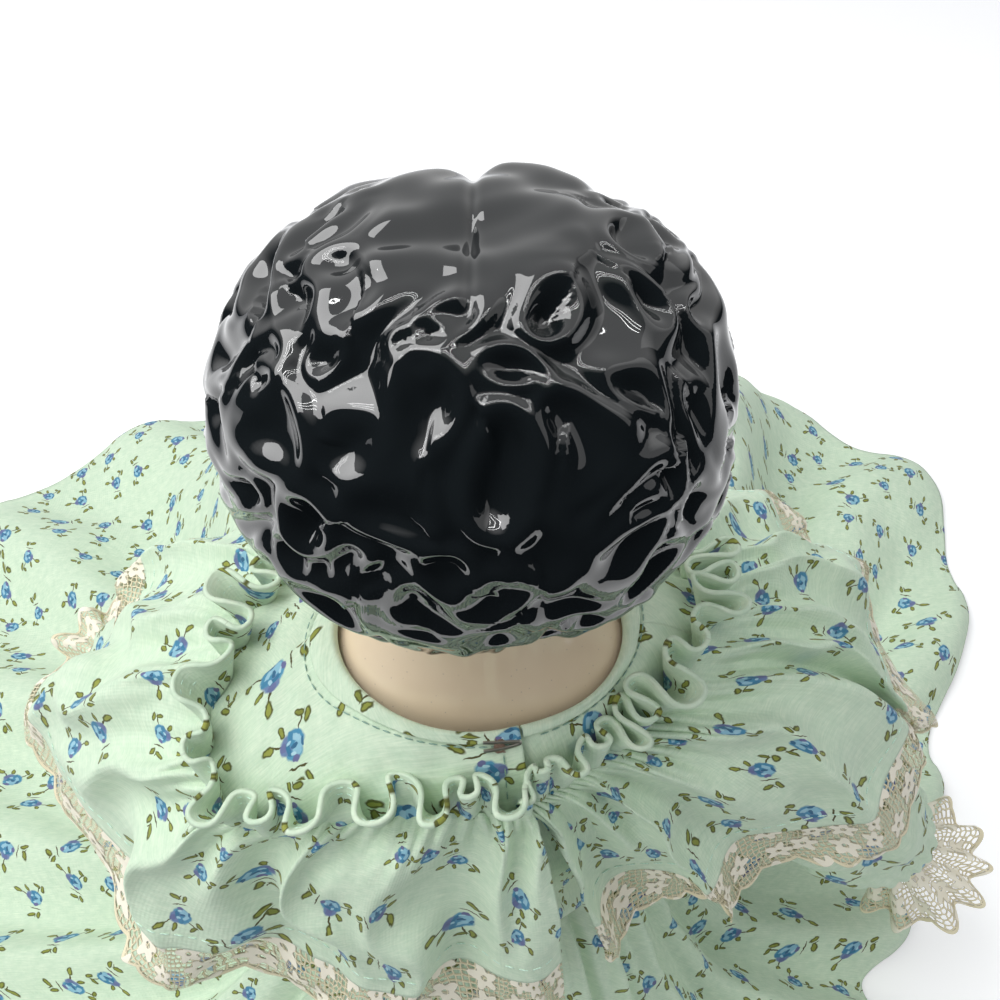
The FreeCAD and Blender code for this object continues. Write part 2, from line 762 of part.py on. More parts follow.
def cloth_strip(point_at, columns, drops, thickness):
    """A thin curved solid. point_at gives a point from a column, a drop and a lift off the sheet."""
    def row(drop, lift):
        return [point_at(i, drop, lift) for i in range(columns + 1)]

    half = thickness / 2
    outer = [row(drop, half) for drop in drops]
    inner = [row(drop, -half) for drop in drops]
    outer_arcs = [three_point_arcs(points) for points in outer]
    inner_arcs = [three_point_arcs(points) for points in inner]
    faces = []
    for arcs in (outer_arcs, inner_arcs):
        for above, below in zip(arcs, arcs[1:]):
            faces += [Part.makeRuledSurface(a, b) for a, b in zip(above, below)]
    for end in (0, -1):
        faces += [Part.makeRuledSurface(a, b) for a, b in zip(outer_arcs[end], inner_arcs[end])]
        for k in range(len(drops) - 1):
            outer_side = Part.makeLine(outer[k][end], outer[k + 1][end])
            inner_side = Part.makeLine(inner[k][end], inner[k + 1][end])
            faces.append(Part.makeRuledSurface(outer_side, inner_side))
    shell = Part.makeShell(faces)
    shell.sewShape()
    solid = Part.makeSolid(shell)
    if solid.Volume < 0:
        solid.reverse()
    return solid


def heading_point(side, turn):
    """A place on the line where the ruffle is stitched to the yoke, from centre back to centre front."""
    angle = math.pi * (turn - 0.5)
    height = heading_back + (heading_shoulder - heading_back) * math.cos(angle) ** 2
    half_width, half_depth, _ = bodice_size(height)
    return V(side * (half_width + heading_stand) * math.cos(angle),
             (half_depth + heading_stand) * math.sin(angle), height)


def edge_point(name, turn):
    """A place on the ruffle's outer edge. One half lies pulled up over its sleeve at the back."""
    angle = math.pi * (turn - 0.5)
    across = math.cos(angle) ** ruffle_plan_power if math.cos(angle) > 0 else 0.0
    along = math.copysign(abs(math.sin(angle)) ** ruffle_plan_power, math.sin(angle))
    depth = ruffle_edge_front if along > 0 else ruffle_edge_back[name]
    height = ruffle_edge_low + (ruffle_edge_high - ruffle_edge_low) * turn
    height += ruffle_edge_lift * math.cos(angle) ** 2
    if along > 0:
        height += ruffle_corner_lift * math.sin(2 * angle) ** 2
    elif name == ruffle_straight_side:
        back = 1 - 2 * turn
        across, along = 1 - back, -back**ruffle_straight_power
        height += ruffle_straight_lift * math.sin(math.pi * back**ruffle_lift_power) ** 2
    return V(SIDES[name] * ruffle_edge_side * across, depth * along, height)


def ruffle_base(name, turn, drop):
    """The unfolded ruffle: out over the sleeve and down, from the heading to the edge."""
    side = SIDES[name]
    top, edge = heading_point(side, turn), edge_point(name, turn)
    crown = top + (edge - top) * ruffle_crown_share
    crown.z = top.z + ruffle_crown_rise
    point = top * (1 - drop) ** 2 + crown * (2 * drop * (1 - drop)) + edge * drop**2
    if turn < 0.5:
        near, far = ruffle_parting[name]
        point.x += (near + (far - near) * drop) * (1 - 2 * turn) ** 2
    else:
        point.x += side * seam_gap / 2
    return point


def ruffle_normal(name, turn, drop):
    step = ruffle_slope_share
    turn_low, turn_high = max(turn - step, 0.0), min(turn + step, 1.0)
    drop_low, drop_high = max(drop - step, 0.0), min(drop + step, 1.0)
    along = ruffle_base(name, turn_high, drop) - ruffle_base(name, turn_low, drop)
    down = ruffle_base(name, turn, drop_high) - ruffle_base(name, turn, drop_low)
    normal = down.cross(along).normalize()
    outward = ruffle_base(name, turn, drop)
    outward.z = 0
    return normal if normal.dot(outward + UP * ruffle_edge_side) > 0 else normal * -1


def ruffle_surface(name, low_drop, high_drop):
    columns = 4 * ruffle_folds

    def point_at(column, share, lift):
        turn = column / columns
        drop = low_drop + (high_drop - low_drop) * share
        wave = ruffle_fold_depth * drop * math.sin(math.tau * column / 4)
        return ruffle_base(name, turn, drop) + ruffle_normal(name, turn, drop) * (wave + lift)
    return point_at, columns


def heading_surface(name):
    side = SIDES[name]
    columns = 4 * heading_waves

    def point_at(column, share, lift):
        turn = column / columns
        point = heading_point(side, turn)
        outward = V(point.x, point.y, 0).normalize()
        wave = heading_wave_depth * math.sin(math.tau * column / 4)
        near = ruffle_parting[name][0] if turn < 0.5 else side * seam_gap / 2
        blend = (1 - 2 * turn) ** 2 if turn < 0.5 else 1.0
        rise = seam_gap + dress_thickness + heading_height * share
        return point + outward * (wave + lift) + UP * rise + SIDEWAYS * near * blend
    return point_at, columns


def make_ruffles():
    nodes = {}
    for name in SIDES:
        drops = even_steps(0.0, 1.0, ruffle_rows)
        seam = seam_gap / ruffle_edge_side
        point_at, columns = ruffle_surface(name, 0.0, lace_start_share - seam)
        nodes[f"ruffle_{name}"] = cloth_strip(point_at, columns, drops, dress_thickness)
        point_at, columns = ruffle_surface(name, lace_start_share, 1.0)
        nodes[f"ruffle_lace_{name}"] = cloth_strip(point_at, columns, (0.0, 1.0), lace_thickness)
        point_at, columns = heading_surface(name)
        nodes[f"ruffle_heading_{name}"] = cloth_strip(point_at, columns, (0.0, 1.0), lace_thickness)
    return nodes


def make_sleeve_pieces(stub_radius):
    """Sleeve, cuff and lace frill, modelled down the arm's own axis."""
    outer = round_loft(sleeve_shares, sleeve_radius, sleeve_length, sleeve_start)
    inner = round_loft(sleeve_shares, sleeve_radius, sleeve_length, sleeve_start, -cloth_thickness)
    end = sleeve_start + sleeve_length
    end_radius = sleeve_radius * sleeve_shares[-1][1]
    inner_radius = end_radius - cloth_thickness
    low = end + seam_gap
    cuff = Part.makeCylinder(inner_radius + cuff_thickness, cuff_width, V(0, 0, low))
    cuff = cuff.cut(Part.makeCylinder(inner_radius, cuff_width, V(0, 0, low)))
    top = low + cuff_width + seam_gap
    start_radius = inner_radius + lace_thickness

    def frill_ring(share, inset):
        radius = start_radius + (frill_radius - start_radius) * share - inset
        return folded_ring(lambda angle: radius, frill_fold_depth * share, top + frill_length * share, frill_folds)

    outer_rings = [frill_ring(share, 0.0) for share in frill_ring_shares]
    inner_rings = [frill_ring(share, lace_thickness) for share in frill_ring_shares]
    return {"sleeve": outer.cut(inner), "cuff": cuff, "cuff_lace": tube(outer_rings, inner_rings, ruled=True)}


def make_doll():
    nodes = {}
    nodes["shoulder_head"] = make_shoulder_head()
    nodes["plate_ties"] = make_plate_ties()
    nodes.update(make_torso())
    nodes.update(make_arms())
    nodes.update(make_legs())
    nodes["drawers_seat"] = make_drawers_seat()
    nodes["petticoat"] = make_petticoat()
    nodes["skirt"] = make_skirt()
    nodes.update(make_bodice())
    nodes["neck_binding"] = make_neck_binding()
    nodes["back_hook"] = make_back_hook()
    nodes.update(make_ruffles())
    return nodes


os.makedirs("parts", exist_ok=True)
print("shoulder pivots at", round(shoulder_reach(), 2))
for node, shape in make_doll().items():
    print(node, shape.isValid(), len(shape.Solids), round(shape.Volume / 1000, 2), "cm3", len(shape.Faces), "faces")
    shape.exportStep(f"parts/{node}.step")
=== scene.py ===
# %% [markdown]
# # A china-head doll in a calico dress
# The doll sits on the floor and faces +Y. Its skeleton of solids comes from the imported frame, at its real
# size and place. This file gives the doll its looks: the glazed head with moulded curls, the printed
# cotton, the gathers and the lace. Most new pieces ride on one of the frame's bodies; the ruffles, their lace
# and their hem stitches ride on none.

# %% Load the frame
import math

import bmesh
import bpy
import numpy as np
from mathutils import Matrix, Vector


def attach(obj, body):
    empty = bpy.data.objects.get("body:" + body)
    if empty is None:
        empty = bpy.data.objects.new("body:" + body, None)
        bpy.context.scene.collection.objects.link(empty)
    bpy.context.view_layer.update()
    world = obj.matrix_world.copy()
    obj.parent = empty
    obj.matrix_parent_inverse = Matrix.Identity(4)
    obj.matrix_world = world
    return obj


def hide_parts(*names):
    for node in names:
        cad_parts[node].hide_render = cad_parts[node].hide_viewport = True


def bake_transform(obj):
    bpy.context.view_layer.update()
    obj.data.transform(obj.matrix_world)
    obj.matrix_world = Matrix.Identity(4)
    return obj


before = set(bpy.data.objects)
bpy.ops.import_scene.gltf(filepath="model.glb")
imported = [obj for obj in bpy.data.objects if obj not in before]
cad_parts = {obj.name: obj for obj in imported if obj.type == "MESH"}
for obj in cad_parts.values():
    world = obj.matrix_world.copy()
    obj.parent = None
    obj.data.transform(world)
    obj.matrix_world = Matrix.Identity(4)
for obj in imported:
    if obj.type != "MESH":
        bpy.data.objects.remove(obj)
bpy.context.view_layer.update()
MM = 0.001
MERGE = 0.002 * MM
SIDES = {"left": -1, "right": 1}

# %% [markdown]
# ## Camera, light and floor
# The view is from behind and above the doll. A wide lens close to the head makes the head large and the
# hem small, so the camera is set at a real distance and not only at the right angle. Three soft lamps and
# an even pale world light the cloth. The glaze is a black mirror, so what it reflects is part of its look:
# the world is bright above and dim behind the camera, and three long thin lamps give the sharp streaks.

# %% Camera
camera_place = Vector((3.5, -112.0, 328.0)) * MM
camera_pitch = math.radians(43.0)
camera_lens = 37.1

camera_data = bpy.data.cameras.new("camera")
camera_data.lens = camera_lens
camera_data.sensor_width = 36.0
camera_data.clip_start = 5 * MM
camera = bpy.data.objects.new("camera", camera_data)
camera.location = camera_place
camera.rotation_euler = (camera_pitch, 0.0, 0.0)
bpy.context.collection.objects.link(camera)
bpy.context.scene.camera = camera
bpy.context.scene.view_settings.view_transform = "Standard"
print("camera height", round(camera_place.z, 3), "m")

# %% Colours and nodes
def colour(hex_code):
    """Turns an sRGB hex colour into the linear numbers that a shader takes."""
    channels = [int(hex_code[i:i + 2], 16) / 255 for i in (1, 3, 5)]
    linear = [c / 12.92 if c <= 0.04045 else ((c + 0.055) / 1.055) ** 2.4 for c in channels]
    return (*linear, 1.0)


def set_inputs(tree, node, inputs):
    """Gives each socket a value, or the output that it is linked to."""
    for socket, value in inputs.items():
        if isinstance(value, bpy.types.NodeSocket):
            tree.links.new(value, node.inputs[socket])
        else:
            node.inputs[socket].default_value = value


def add_node(tree, kind, inputs=None, stops=(), **settings):
    """Adds a node with its settings and inputs. stops are a colour ramp's places and colours."""
    node = tree.nodes.new("ShaderNode" + kind)
    for name, value in settings.items():
        setattr(node, name, value)
    for index, (position, shade) in enumerate(stops):
        node.color_ramp.elements[index].position = position
        node.color_ramp.elements[index].color = shade
    set_inputs(tree, node, inputs or {})
    return node


def math_node(tree, operation, *values):
    """Arithmetic on one to three values, each a number or an output. Gives its output."""
    return add_node(tree, "Math", dict(enumerate(values)), operation=operation).outputs[0]


def ramp_node(tree, value, low, high):
    """0 where the value is at low, 1 where it is at high and even between. Gives its output."""
    return add_node(tree, "MapRange", {"Value": value, "From Min": low, "From Max": high}).outputs[0]


def new_material(name):
    """A material with its node tree and its Principled shader."""
    material = bpy.data.materials.new(name)
    material.use_nodes = True
    return material, material.node_tree, material.node_tree.nodes["Principled BSDF"]


# %% Lamps
def soft_lamp(name, place, aim, width, height, watts):
    """A flat rectangular lamp, in metres, turned to the place that it lights."""
    data = bpy.data.lights.new(name, "AREA")
    data.shape = "RECTANGLE"
    data.size, data.size_y = width, height
    data.energy = watts
    lamp = bpy.data.objects.new(name, data)
    lamp.location = place
    lamp.rotation_euler = (Vector(aim) - Vector(place)).to_track_quat("-Z", "Y").to_euler()
    bpy.context.collection.objects.link(lamp)
    return lamp


soft_lamp("window_softbox", (-0.80, 0.12, 1.35), (0.0, 0.06, 0.1), 1.0, 1.0, 13.8)
low_lamp = soft_lamp("low_softbox", (-0.85, -0.85, 0.95), (0.0, 0.0, 0.12), 0.7, 0.7, 4.4)
low_lamp.visible_glossy = False
soft_lamp("side_softbox", (1.3, -0.1, 1.0), (0.0, 0.05, 0.1), 0.9, 0.9, 1.6)
for strip, reach in (("near_strip", -0.16), ("middle_strip", -0.08), ("far_strip", 0.0)):
    soft_lamp(strip, (0.0, reach, 1.15), (0.0, 0.0, 0.22), 1.4, 0.005, 0.8)

# %% World
def light_world():
    """White to the camera, an even fill on matt cloth, and a room with a dim side in the glaze."""
    world = bpy.data.worlds.new("studio")
    bpy.context.scene.world = world
    world.use_nodes = True
    tree = world.node_tree
    tree.nodes.clear()
    place = add_node(tree, "TexCoord").outputs["Generated"]
    parts = add_node(tree, "SeparateXYZ", {0: place})
    lean = math_node(tree, "MULTIPLY", parts.outputs["Y"], 0.9)
    height = math_node(tree, "ADD", parts.outputs["Z"], lean)
    sky = add_node(tree, "ValToRGB", {0: height},
                   stops=((0.5, colour("#202528")), (0.8, colour("#ffffff"))))
    path = add_node(tree, "LightPath")
    room = add_node(tree, "Background", {"Color": sky.outputs[0], "Strength": 0.85})
    fill = add_node(tree, "Background", {"Color": colour("#f4f7ff"), "Strength": 0.42})
    white = add_node(tree, "Background", {"Color": colour("#ffffff"), "Strength": 1.0})
    lit = add_node(tree, "MixShader",
                   {0: path.outputs["Is Glossy Ray"], 1: fill.outputs[0], 2: room.outputs[0]})
    seen = math_node(tree, "MAXIMUM", path.outputs["Is Camera Ray"], path.outputs["Is Transmission Ray"])
    both = add_node(tree, "MixShader", {0: seen, 1: lit.outputs[0], 2: white.outputs[0]})
    add_node(tree, "OutputWorld", {0: both.outputs[0]})


light_world()
print("world:", bpy.context.scene.world.name)

# %% [markdown]
# ## Tools of the trade
# Cloth, porcelain and padding are all grown from one thing: a grid of faces from the grid operator, whose
# two directions run along and across the piece. A function then says where each place on the grid lies. A
# seam is closed by merging its doubles. The grid also gives every cloth piece a UV map in real metres, so
# that print, weave and net keep their size whatever the piece does.

# %% Grid helper
def make_piece(name, columns, rows, place, closed=False, cloth_map=None, wall=None, material=None):
    """A piece from a grid. place(u, v) gives x, y, z in mm from arrays that run from 0 to 1.

    cloth_map(u, v) gives the flat pattern's two coordinates in mm.
    """
    bm = bmesh.new()
    bmesh.ops.create_grid(bm, x_segments=columns, y_segments=rows, size=0.5)
    mesh = bpy.data.meshes.new(name)
    bm.to_mesh(mesh)
    bm.free()
    flat = np.empty(len(mesh.vertices) * 3)
    mesh.vertices.foreach_get("co", flat)
    flat = flat.reshape(-1, 3) + 0.5
    u, v = flat[:, 0].copy(), flat[:, 1].copy()
    points = np.stack(place(u, v), axis=1) * MM
    mesh.vertices.foreach_set("co", points.ravel())
    if cloth_map:
        corner = np.empty(len(mesh.loops), dtype=np.int64)
        mesh.loops.foreach_get("vertex_index", corner)
        across, along = cloth_map(u, v)
        pattern = np.stack([across[corner], along[corner]], axis=1) * MM
        mesh.uv_layers.new(name="cloth").data.foreach_set("uv", pattern.ravel())
    mesh.polygons.foreach_set("use_smooth", [True] * len(mesh.polygons))
    if closed:
        bm = bmesh.new()
        bm.from_mesh(mesh)
        bmesh.ops.remove_doubles(bm, verts=bm.verts, dist=MERGE)
        bmesh.ops.recalc_face_normals(bm, faces=bm.faces)
        bm.to_mesh(mesh)
        bm.free()
    piece = bpy.data.objects.new(name, mesh)
    bpy.context.collection.objects.link(piece)
    if wall:
        thick = piece.modifiers.new("thickness", "SOLIDIFY")
        thick.thickness = wall * MM
        thick.offset = 0.0
    if material:
        mesh.materials.append(material)
    return piece


def wear(piece, body, slot, *nodes):
    """Fixes a piece to a body and names the nodes that it is shown for. slot is not used."""
    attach(piece, body)
    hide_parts(*nodes)


# %% Number helpers
def unit(ways, least=0.0):
    """Vectors in rows, each made one long. least keeps a vector of no length from breaking the sum."""
    return ways / (np.linalg.norm(ways, axis=1)[:, None] + least)


def oval_points(angle, wide, deep, height):
    """Places on ovals round the z axis, one in a row."""
    return np.stack([wide * np.cos(angle), deep * np.sin(angle), height], axis=1)


def tube_wall(line, ahead, toward, radius, v):
    """A tube's wall round its middle line. toward is a direction that the line never takes."""
    side = unit(np.cross(ahead, np.array(toward)))
    up = np.cross(side, ahead)
    ring = math.tau * v
    return line + radius * (np.cos(ring)[:, None] * side + np.sin(ring)[:, None] * up)


def smoothly(low, high, value):
    """0 below low, 1 above high and an even S between them."""
    share = np.clip((value - low) / (high - low), 0.0, 1.0)
    return share * share * (3 - 2 * share)


def read_table(table, share, column=1):
    """One column of a table of shares, read smoothly at an array of shares."""
    places = np.array([row[0] for row in table])
    values = np.array([row[column] for row in table])
    low = np.maximum(np.arange(len(places)) - 1, 0)
    high = np.minimum(np.arange(len(places)) + 1, len(places) - 1)
    slopes = (values[high] - values[low]) / (places[high] - places[low])
    share = np.clip(share, places[0], places[-1])
    index = np.clip(np.searchsorted(places, share, side="right") - 1, 0, len(places) - 2)
    span = places[index + 1] - places[index]
    t = (share - places[index]) / span
    rise = 3 * t**2 - 2 * t**3
    start, end = values[index], values[index + 1]
    swing = slopes[index] * (t**3 - 2 * t**2 + t) + slopes[index + 1] * (t**3 - t**2)
    return start + (end - start) * rise + span * swing


def ripple(points, wave_length, seed, count=9):
    """A smooth random swell between about -1 and 1 over points in mm, made of a few crossing waves."""
    draw = np.random.default_rng(seed)
    total = np.zeros(len(points))
    for _ in range(count):
        way = draw.normal(size=3)
        way *= (0.7 + 0.6 * draw.random()) / np.linalg.norm(way)
        total += np.sin(points @ way * (math.tau / wave_length) + draw.random() * math.tau)
    return total / math.sqrt(count)


print("helpers ready")

# %% [markdown]
# ## Printed cotton
# The dress is plain-woven cotton, roller printed with small roses: what is called a calico. It could be
# made from an image, but a drawn pattern has no resolution and no owner. Each sprig is built from a few ovals
# in its own cell of a loosely spaced pattern, turned and scaled by that cell's random colour. The threads
# are a bump of two crossed sets of fine lines.

# %% Print helpers
def oval_mask(tree, place, centre, radii, turn=0.0, rim=0.12):
    """1 inside an oval and 0 outside. centre and radii in mm, turn in degrees, rim a share of the radius."""
    local = add_node(tree, "Mapping", {0: place, "Location": (*centre, 0), "Scale": (*radii, 1),
                                       "Rotation": (0, 0, math.radians(turn))}, vector_type="TEXTURE")
    reach = add_node(tree, "VectorMath", {0: local.outputs[0]}, operation="LENGTH")
    return ramp_node(tree, reach.outputs["Value"], 1 + rim, 1 - rim)


def paint_over(tree, under, mask, over):
    """One layer of paint on another where the mask is 1."""
    return add_node(tree, "Mix", {0: mask, 6: under, 7: over}, data_type="RGBA").outputs[2]


def cloth_material(name):
    """A new material with its coordinates on the flat cloth, in mm."""
    material, tree, shader = new_material(name)
    flat = add_node(tree, "UVMap", uv_map="cloth").outputs[0]
    place = add_node(tree, "VectorMath", {0: flat, 1: (1 / MM, 1 / MM, 1 / MM)}, operation="MULTIPLY")
    return material, tree, shader, place.outputs[0]


def weave_bump(tree, shader, place, thread, strength):
    """Crossed threads of a given spacing in mm, with slubs, as a bump. Gives the slub noise too."""
    thread_depth = 0.05
    waves = []
    for axis in ("X", "Y"):
        wave = add_node(tree, "TexWave",
                        {"Vector": place, "Scale": 1 / thread / 3.1416 * 0.5, "Distortion": 1.2,
                         "Detail": 1.0, "Detail Scale": 0.6}, bands_direction=axis)
        waves.append(wave.outputs["Fac"])
    cloth = math_node(tree, "ADD", waves[0], waves[1])
    slub = add_node(tree, "TexNoise", {"Vector": place, "Scale": 0.35, "Detail": 4.0, "Roughness": 0.65})
    height = math_node(tree, "ADD", cloth, slub.outputs["Fac"])
    bump = add_node(tree, "Bump",
                    {"Height": height, "Strength": strength, "Distance": thread_depth * MM})
    set_inputs(tree, shader, {"Normal": bump.outputs[0]})
    return slub.outputs["Fac"]


# %% Calico
# Sprigs in mm. The threads are drawn at twice their real spacing, so that they show. Each oval has a
# colour, a centre and its radii in mm, and a turn in degrees: stalks, leaves with their lights, then petals.
sprig_spacing = 18.0
sprig_shift = (7.0, 3.0, 0)
smallest_sprig, largest_sprig = 0.58, 0.82
thread_spacing = 0.55
sprig_ovals = [
    ("#54502e", (-4.2, 3.4), (3.0, 0.26), 42), ("#54502e", (4.6, 2.6), (3.2, 0.26), 24),
    ("#54502e", (1.6, -5.4), (2.8, 0.26), -74), ("#54502e", (-7.4, 5.2), (1.6, 0.22), -10),
    ("#5a5e30", (-6.2, 6.6), (2.2, 1.15), 66), ("#8b9244", (-6.1, 6.5), (1.6, 0.62), 66),
    ("#5a5e30", (-8.4, 3.6), (2.0, 1.0), -18), ("#8b9244", (-8.4, 3.6), (1.45, 0.5), -18),
    ("#5a5e30", (7.6, 4.6), (2.2, 1.1), 38), ("#949a4a", (7.6, 4.6), (1.6, 0.6), 38),
    ("#5a5e30", (5.6, -0.6), (1.7, 0.9), -20), ("#8b9244", (5.7, -0.6), (1.2, 0.5), -20),
    ("#5a5e30", (0.4, -7.4), (1.9, 1.0), -58), ("#8b9244", (0.5, -7.4), (1.35, 0.5), -58),
    ("#5a5e30", (3.2, -6.6), (1.7, 0.9), 20), ("#7f8740", (3.2, -6.6), (1.2, 0.45), 20),
    ("#5594b2", (-0.9, 0.7), (2.9, 2.5), 30), ("#6d82a6", (1.9, 0.9), (2.3, 2.6), -15),
    ("#4c8aaa", (0.3, -1.7), (3.0, 2.1), 8), ("#8bb9cb", (-1.7, -0.2), (1.5, 1.9), 20),
    ("#6a7299", (2.7, 1.9), (1.3, 1.1), 40), ("#3d7697", (0.7, 1.4), (1.9, 0.7), -28),
    ("#98c1d0", (0.3, -1.9), (1.7, 0.75), 12), ("#3a6888", (-0.4, -0.2), (1.1, 0.55), 50),
    ("#6a6c94", (-2.6, 1.9), (1.2, 0.8), 55), ("#4882a2", (2.3, -1.4), (1.2, 0.9), -40),
    ("#accfd9", (-1.4, 1.5), (0.9, 0.45), 35), ("#3c6b8c", (-2.3, -1.9), (1.2, 0.5), -35),
    ("#a3c8d5", (1.7, 0.3), (0.8, 0.5), 70),
]


def print_sprigs(tree, place, under):
    """One sprig in every cell of a loosely spaced pattern, each turned and sized by its cell's own colour."""
    moved = add_node(tree, "VectorMath", {0: place, 1: sprig_shift}).outputs[0]
    cells = add_node(tree, "TexVoronoi", {"Vector": moved, "Scale": 1 / sprig_spacing, "Randomness": 0.55},
                     voronoi_dimensions="2D")
    local = add_node(tree, "VectorMath", {0: moved, 1: cells.outputs["Position"]}, operation="SUBTRACT")
    luck = add_node(tree, "SeparateColor", {0: cells.outputs["Color"]})
    angle = math_node(tree, "MULTIPLY", luck.outputs[0], math.tau)
    turned = add_node(tree, "VectorRotate", {"Vector": local.outputs[0], "Angle": angle},
                      rotation_type="Z_AXIS")
    size = add_node(tree, "MapRange",
                    {"Value": luck.outputs[1], "To Min": 1 / largest_sprig, "To Max": 1 / smallest_sprig})
    own = add_node(tree, "VectorMath", {0: turned.outputs[0], "Scale": size.outputs[0]}, operation="SCALE")
    wobble = add_node(tree, "TexNoise", {"Vector": moved, "Scale": 0.8, "Detail": 1.0})
    ragged = add_node(tree, "VectorMath", {0: wobble.outputs["Color"], 1: (0.5, 0.5, 0.5)},
                      operation="SUBTRACT")
    swayed = add_node(tree, "VectorMath", {0: ragged.outputs[0], 1: (1.1, 1.1, 0), 2: own.outputs[0]},
                      operation="MULTIPLY_ADD")
    flat = add_node(tree, "VectorMath", {0: swayed.outputs[0], 1: (1, 1, 0)}, operation="MULTIPLY").outputs[0]
    for shade, centre, radii, turn in sprig_ovals:
        under = paint_over(tree, under, oval_mask(tree, flat, centre, radii, turn), colour(shade))
    return under


def calico_material():
    """Plain-woven printed cotton: matt, soft at grazing angles, pale mint with a faint slub in the thread."""
    material, tree, shader, place = cloth_material("printed_calico")
    slub = weave_bump(tree, shader, place, thread_spacing, 0.55)
    streaks = add_node(tree, "Mapping", {0: place, "Scale": (0.25, 3.0, 1.0)})
    thread = add_node(tree, "TexNoise", {"Vector": streaks.outputs[0], "Scale": 1.1, "Detail": 3.0})
    mixed = math_node(tree, "MULTIPLY", slub, thread.outputs["Fac"])
    mint = add_node(tree, "ValToRGB", {0: mixed},
                    stops=((0.12, colour("#c3dabf")), (0.42, colour("#dbead1"))))
    set_inputs(tree, shader, {"Base Color": print_sprigs(tree, place, mint.outputs[0]), "Roughness": 0.86,
                              "Specular IOR Level": 0.25, "Sheen Weight": 0.12, "Sheen Roughness": 0.5})
    return material


calico = calico_material()
print("calico nodes:", len(calico.node_tree.nodes))

# %% [markdown]
# ## White cotton, rose cotton and lace
# The underclothes are bleached cotton and the body is covered in rose cotton: both are the same weave
# with no print. Cotton lace is a net of threads with close-worked flowers in it. Holes in the mesh would need
# millions of faces, so the net is a mask on the shader's alpha: threads where a cell pattern's edges are,
# close cloth in five-petalled flowers set in a larger cell pattern, and a scalloped border.

# %% Plain cottons
def plain_cotton(name, light, dark, thread=0.5):
    """Plain-woven cotton with no print: matt, with a slub that shades it a little."""
    material, tree, shader, place = cloth_material(name)
    slub = weave_bump(tree, shader, place, thread, 0.5)
    shade = add_node(tree, "ValToRGB", {0: slub}, stops=((0.3, colour(dark)), (0.7, colour(light))))
    set_inputs(tree, shader, {"Base Color": shade.outputs[0], "Roughness": 0.88, "Specular IOR Level": 0.25,
                              "Sheen Weight": 0.12})
    return material


white_cotton = plain_cotton("bleached_cotton", "#f1ede2", "#e2dccd")
rose_cotton = plain_cotton("rose_body_cotton", "#b94a60", "#a03a50")
tape_cotton = plain_cotton("cotton_tape", "#e8dfc8", "#d6cab0", 0.7)
print("plain cottons:", [m.name for m in (white_cotton, rose_cotton, tape_cotton)])

# %% Lace
# Sizes in mm. Real net has cells of under a millimetre, and is drawn a little coarser so that it shows.
net_cell = 1.3
flower_size = 8.0
scallop_width = 7.0


def lace_material(depth):
    """Cotton bobbin net with close-worked flowers. depth is the lace's width in mm, along the map's Y."""
    material, tree, shader, place = cloth_material(f"cotton_lace_{depth:.0f}")
    net = add_node(tree, "TexVoronoi", {"Vector": place, "Scale": 1 / net_cell, "Randomness": 0.45},
                   voronoi_dimensions="2D", feature="DISTANCE_TO_EDGE")
    thread = ramp_node(tree, net.outputs["Distance"], 0.135, 0.085)
    petals = add_node(tree, "TexVoronoi", {"Vector": place, "Scale": 1 / flower_size, "Randomness": 0.5},
                      voronoi_dimensions="2D")
    local = add_node(tree, "VectorMath", {0: place, 1: petals.outputs["Position"]}, operation="SUBTRACT")
    axes = add_node(tree, "SeparateXYZ", {0: local.outputs[0]})
    angle = math_node(tree, "ARCTAN2", axes.outputs["Y"], axes.outputs["X"])
    five = math_node(tree, "MULTIPLY", angle, 5.0)
    lobes = math_node(tree, "COSINE", five)
    reach = add_node(tree, "VectorMath", {0: local.outputs[0]}, operation="LENGTH")
    edge = math_node(tree, "MULTIPLY_ADD", lobes, 0.75, 2.6)
    gap = math_node(tree, "SUBTRACT", edge, reach.outputs["Value"])
    flower = ramp_node(tree, gap, -0.1, 0.15)
    eye = ramp_node(tree, reach.outputs["Value"], 0.5, 0.75)
    worked = math_node(tree, "MULTIPLY", flower, eye)
    whole = add_node(tree, "SeparateXYZ", {0: place})
    turn = math_node(tree, "MULTIPLY", whole.outputs["X"], math.pi / scallop_width)
    wave = math_node(tree, "SINE", turn)
    bow = math_node(tree, "ABSOLUTE", wave)
    border = math_node(tree, "MULTIPLY_ADD", bow, 1.7, depth - 2.0)
    left = math_node(tree, "SUBTRACT", border, whole.outputs["Y"])
    cordon = ramp_node(tree, left, 1.3, 0.9)
    head = ramp_node(tree, whole.outputs["Y"], 1.3, 1.0)
    solid = thread
    for more in (worked, cordon, head):
        solid = math_node(tree, "MAXIMUM", solid, more)
    inside = ramp_node(tree, left, 0.0, 0.12)
    alpha = math_node(tree, "MULTIPLY", solid, inside)
    shade = paint_over(tree, colour("#e6dcbc"), worked, colour("#f4eedb"))
    bump = add_node(tree, "Bump", {"Height": solid, "Strength": 0.6, "Distance": 0.3 * MM})
    set_inputs(tree, shader, {"Alpha": alpha, "Base Color": shade, "Normal": bump.outputs[0],
                              "Roughness": 0.8, "Specular IOR Level": 0.3})
    return material


print("lace net cell", net_cell, "mm")

# %% [markdown]
# ## The shoulder head
# Head, hair, neck and shoulder plate are one hollow porcelain casting. The hair is only modelled relief
# under black glaze, and the face is painted under clear glaze. It could be sculpted by hand, but here one
# grid runs from the crown to the rim of the plate, as a skin pulled over the casting, and the relief is
# worked out: every curl is a raised spiral ring with a pit in its middle, and neighbouring curls meet in
# soft valleys, as slip casting and thick glaze leave them.

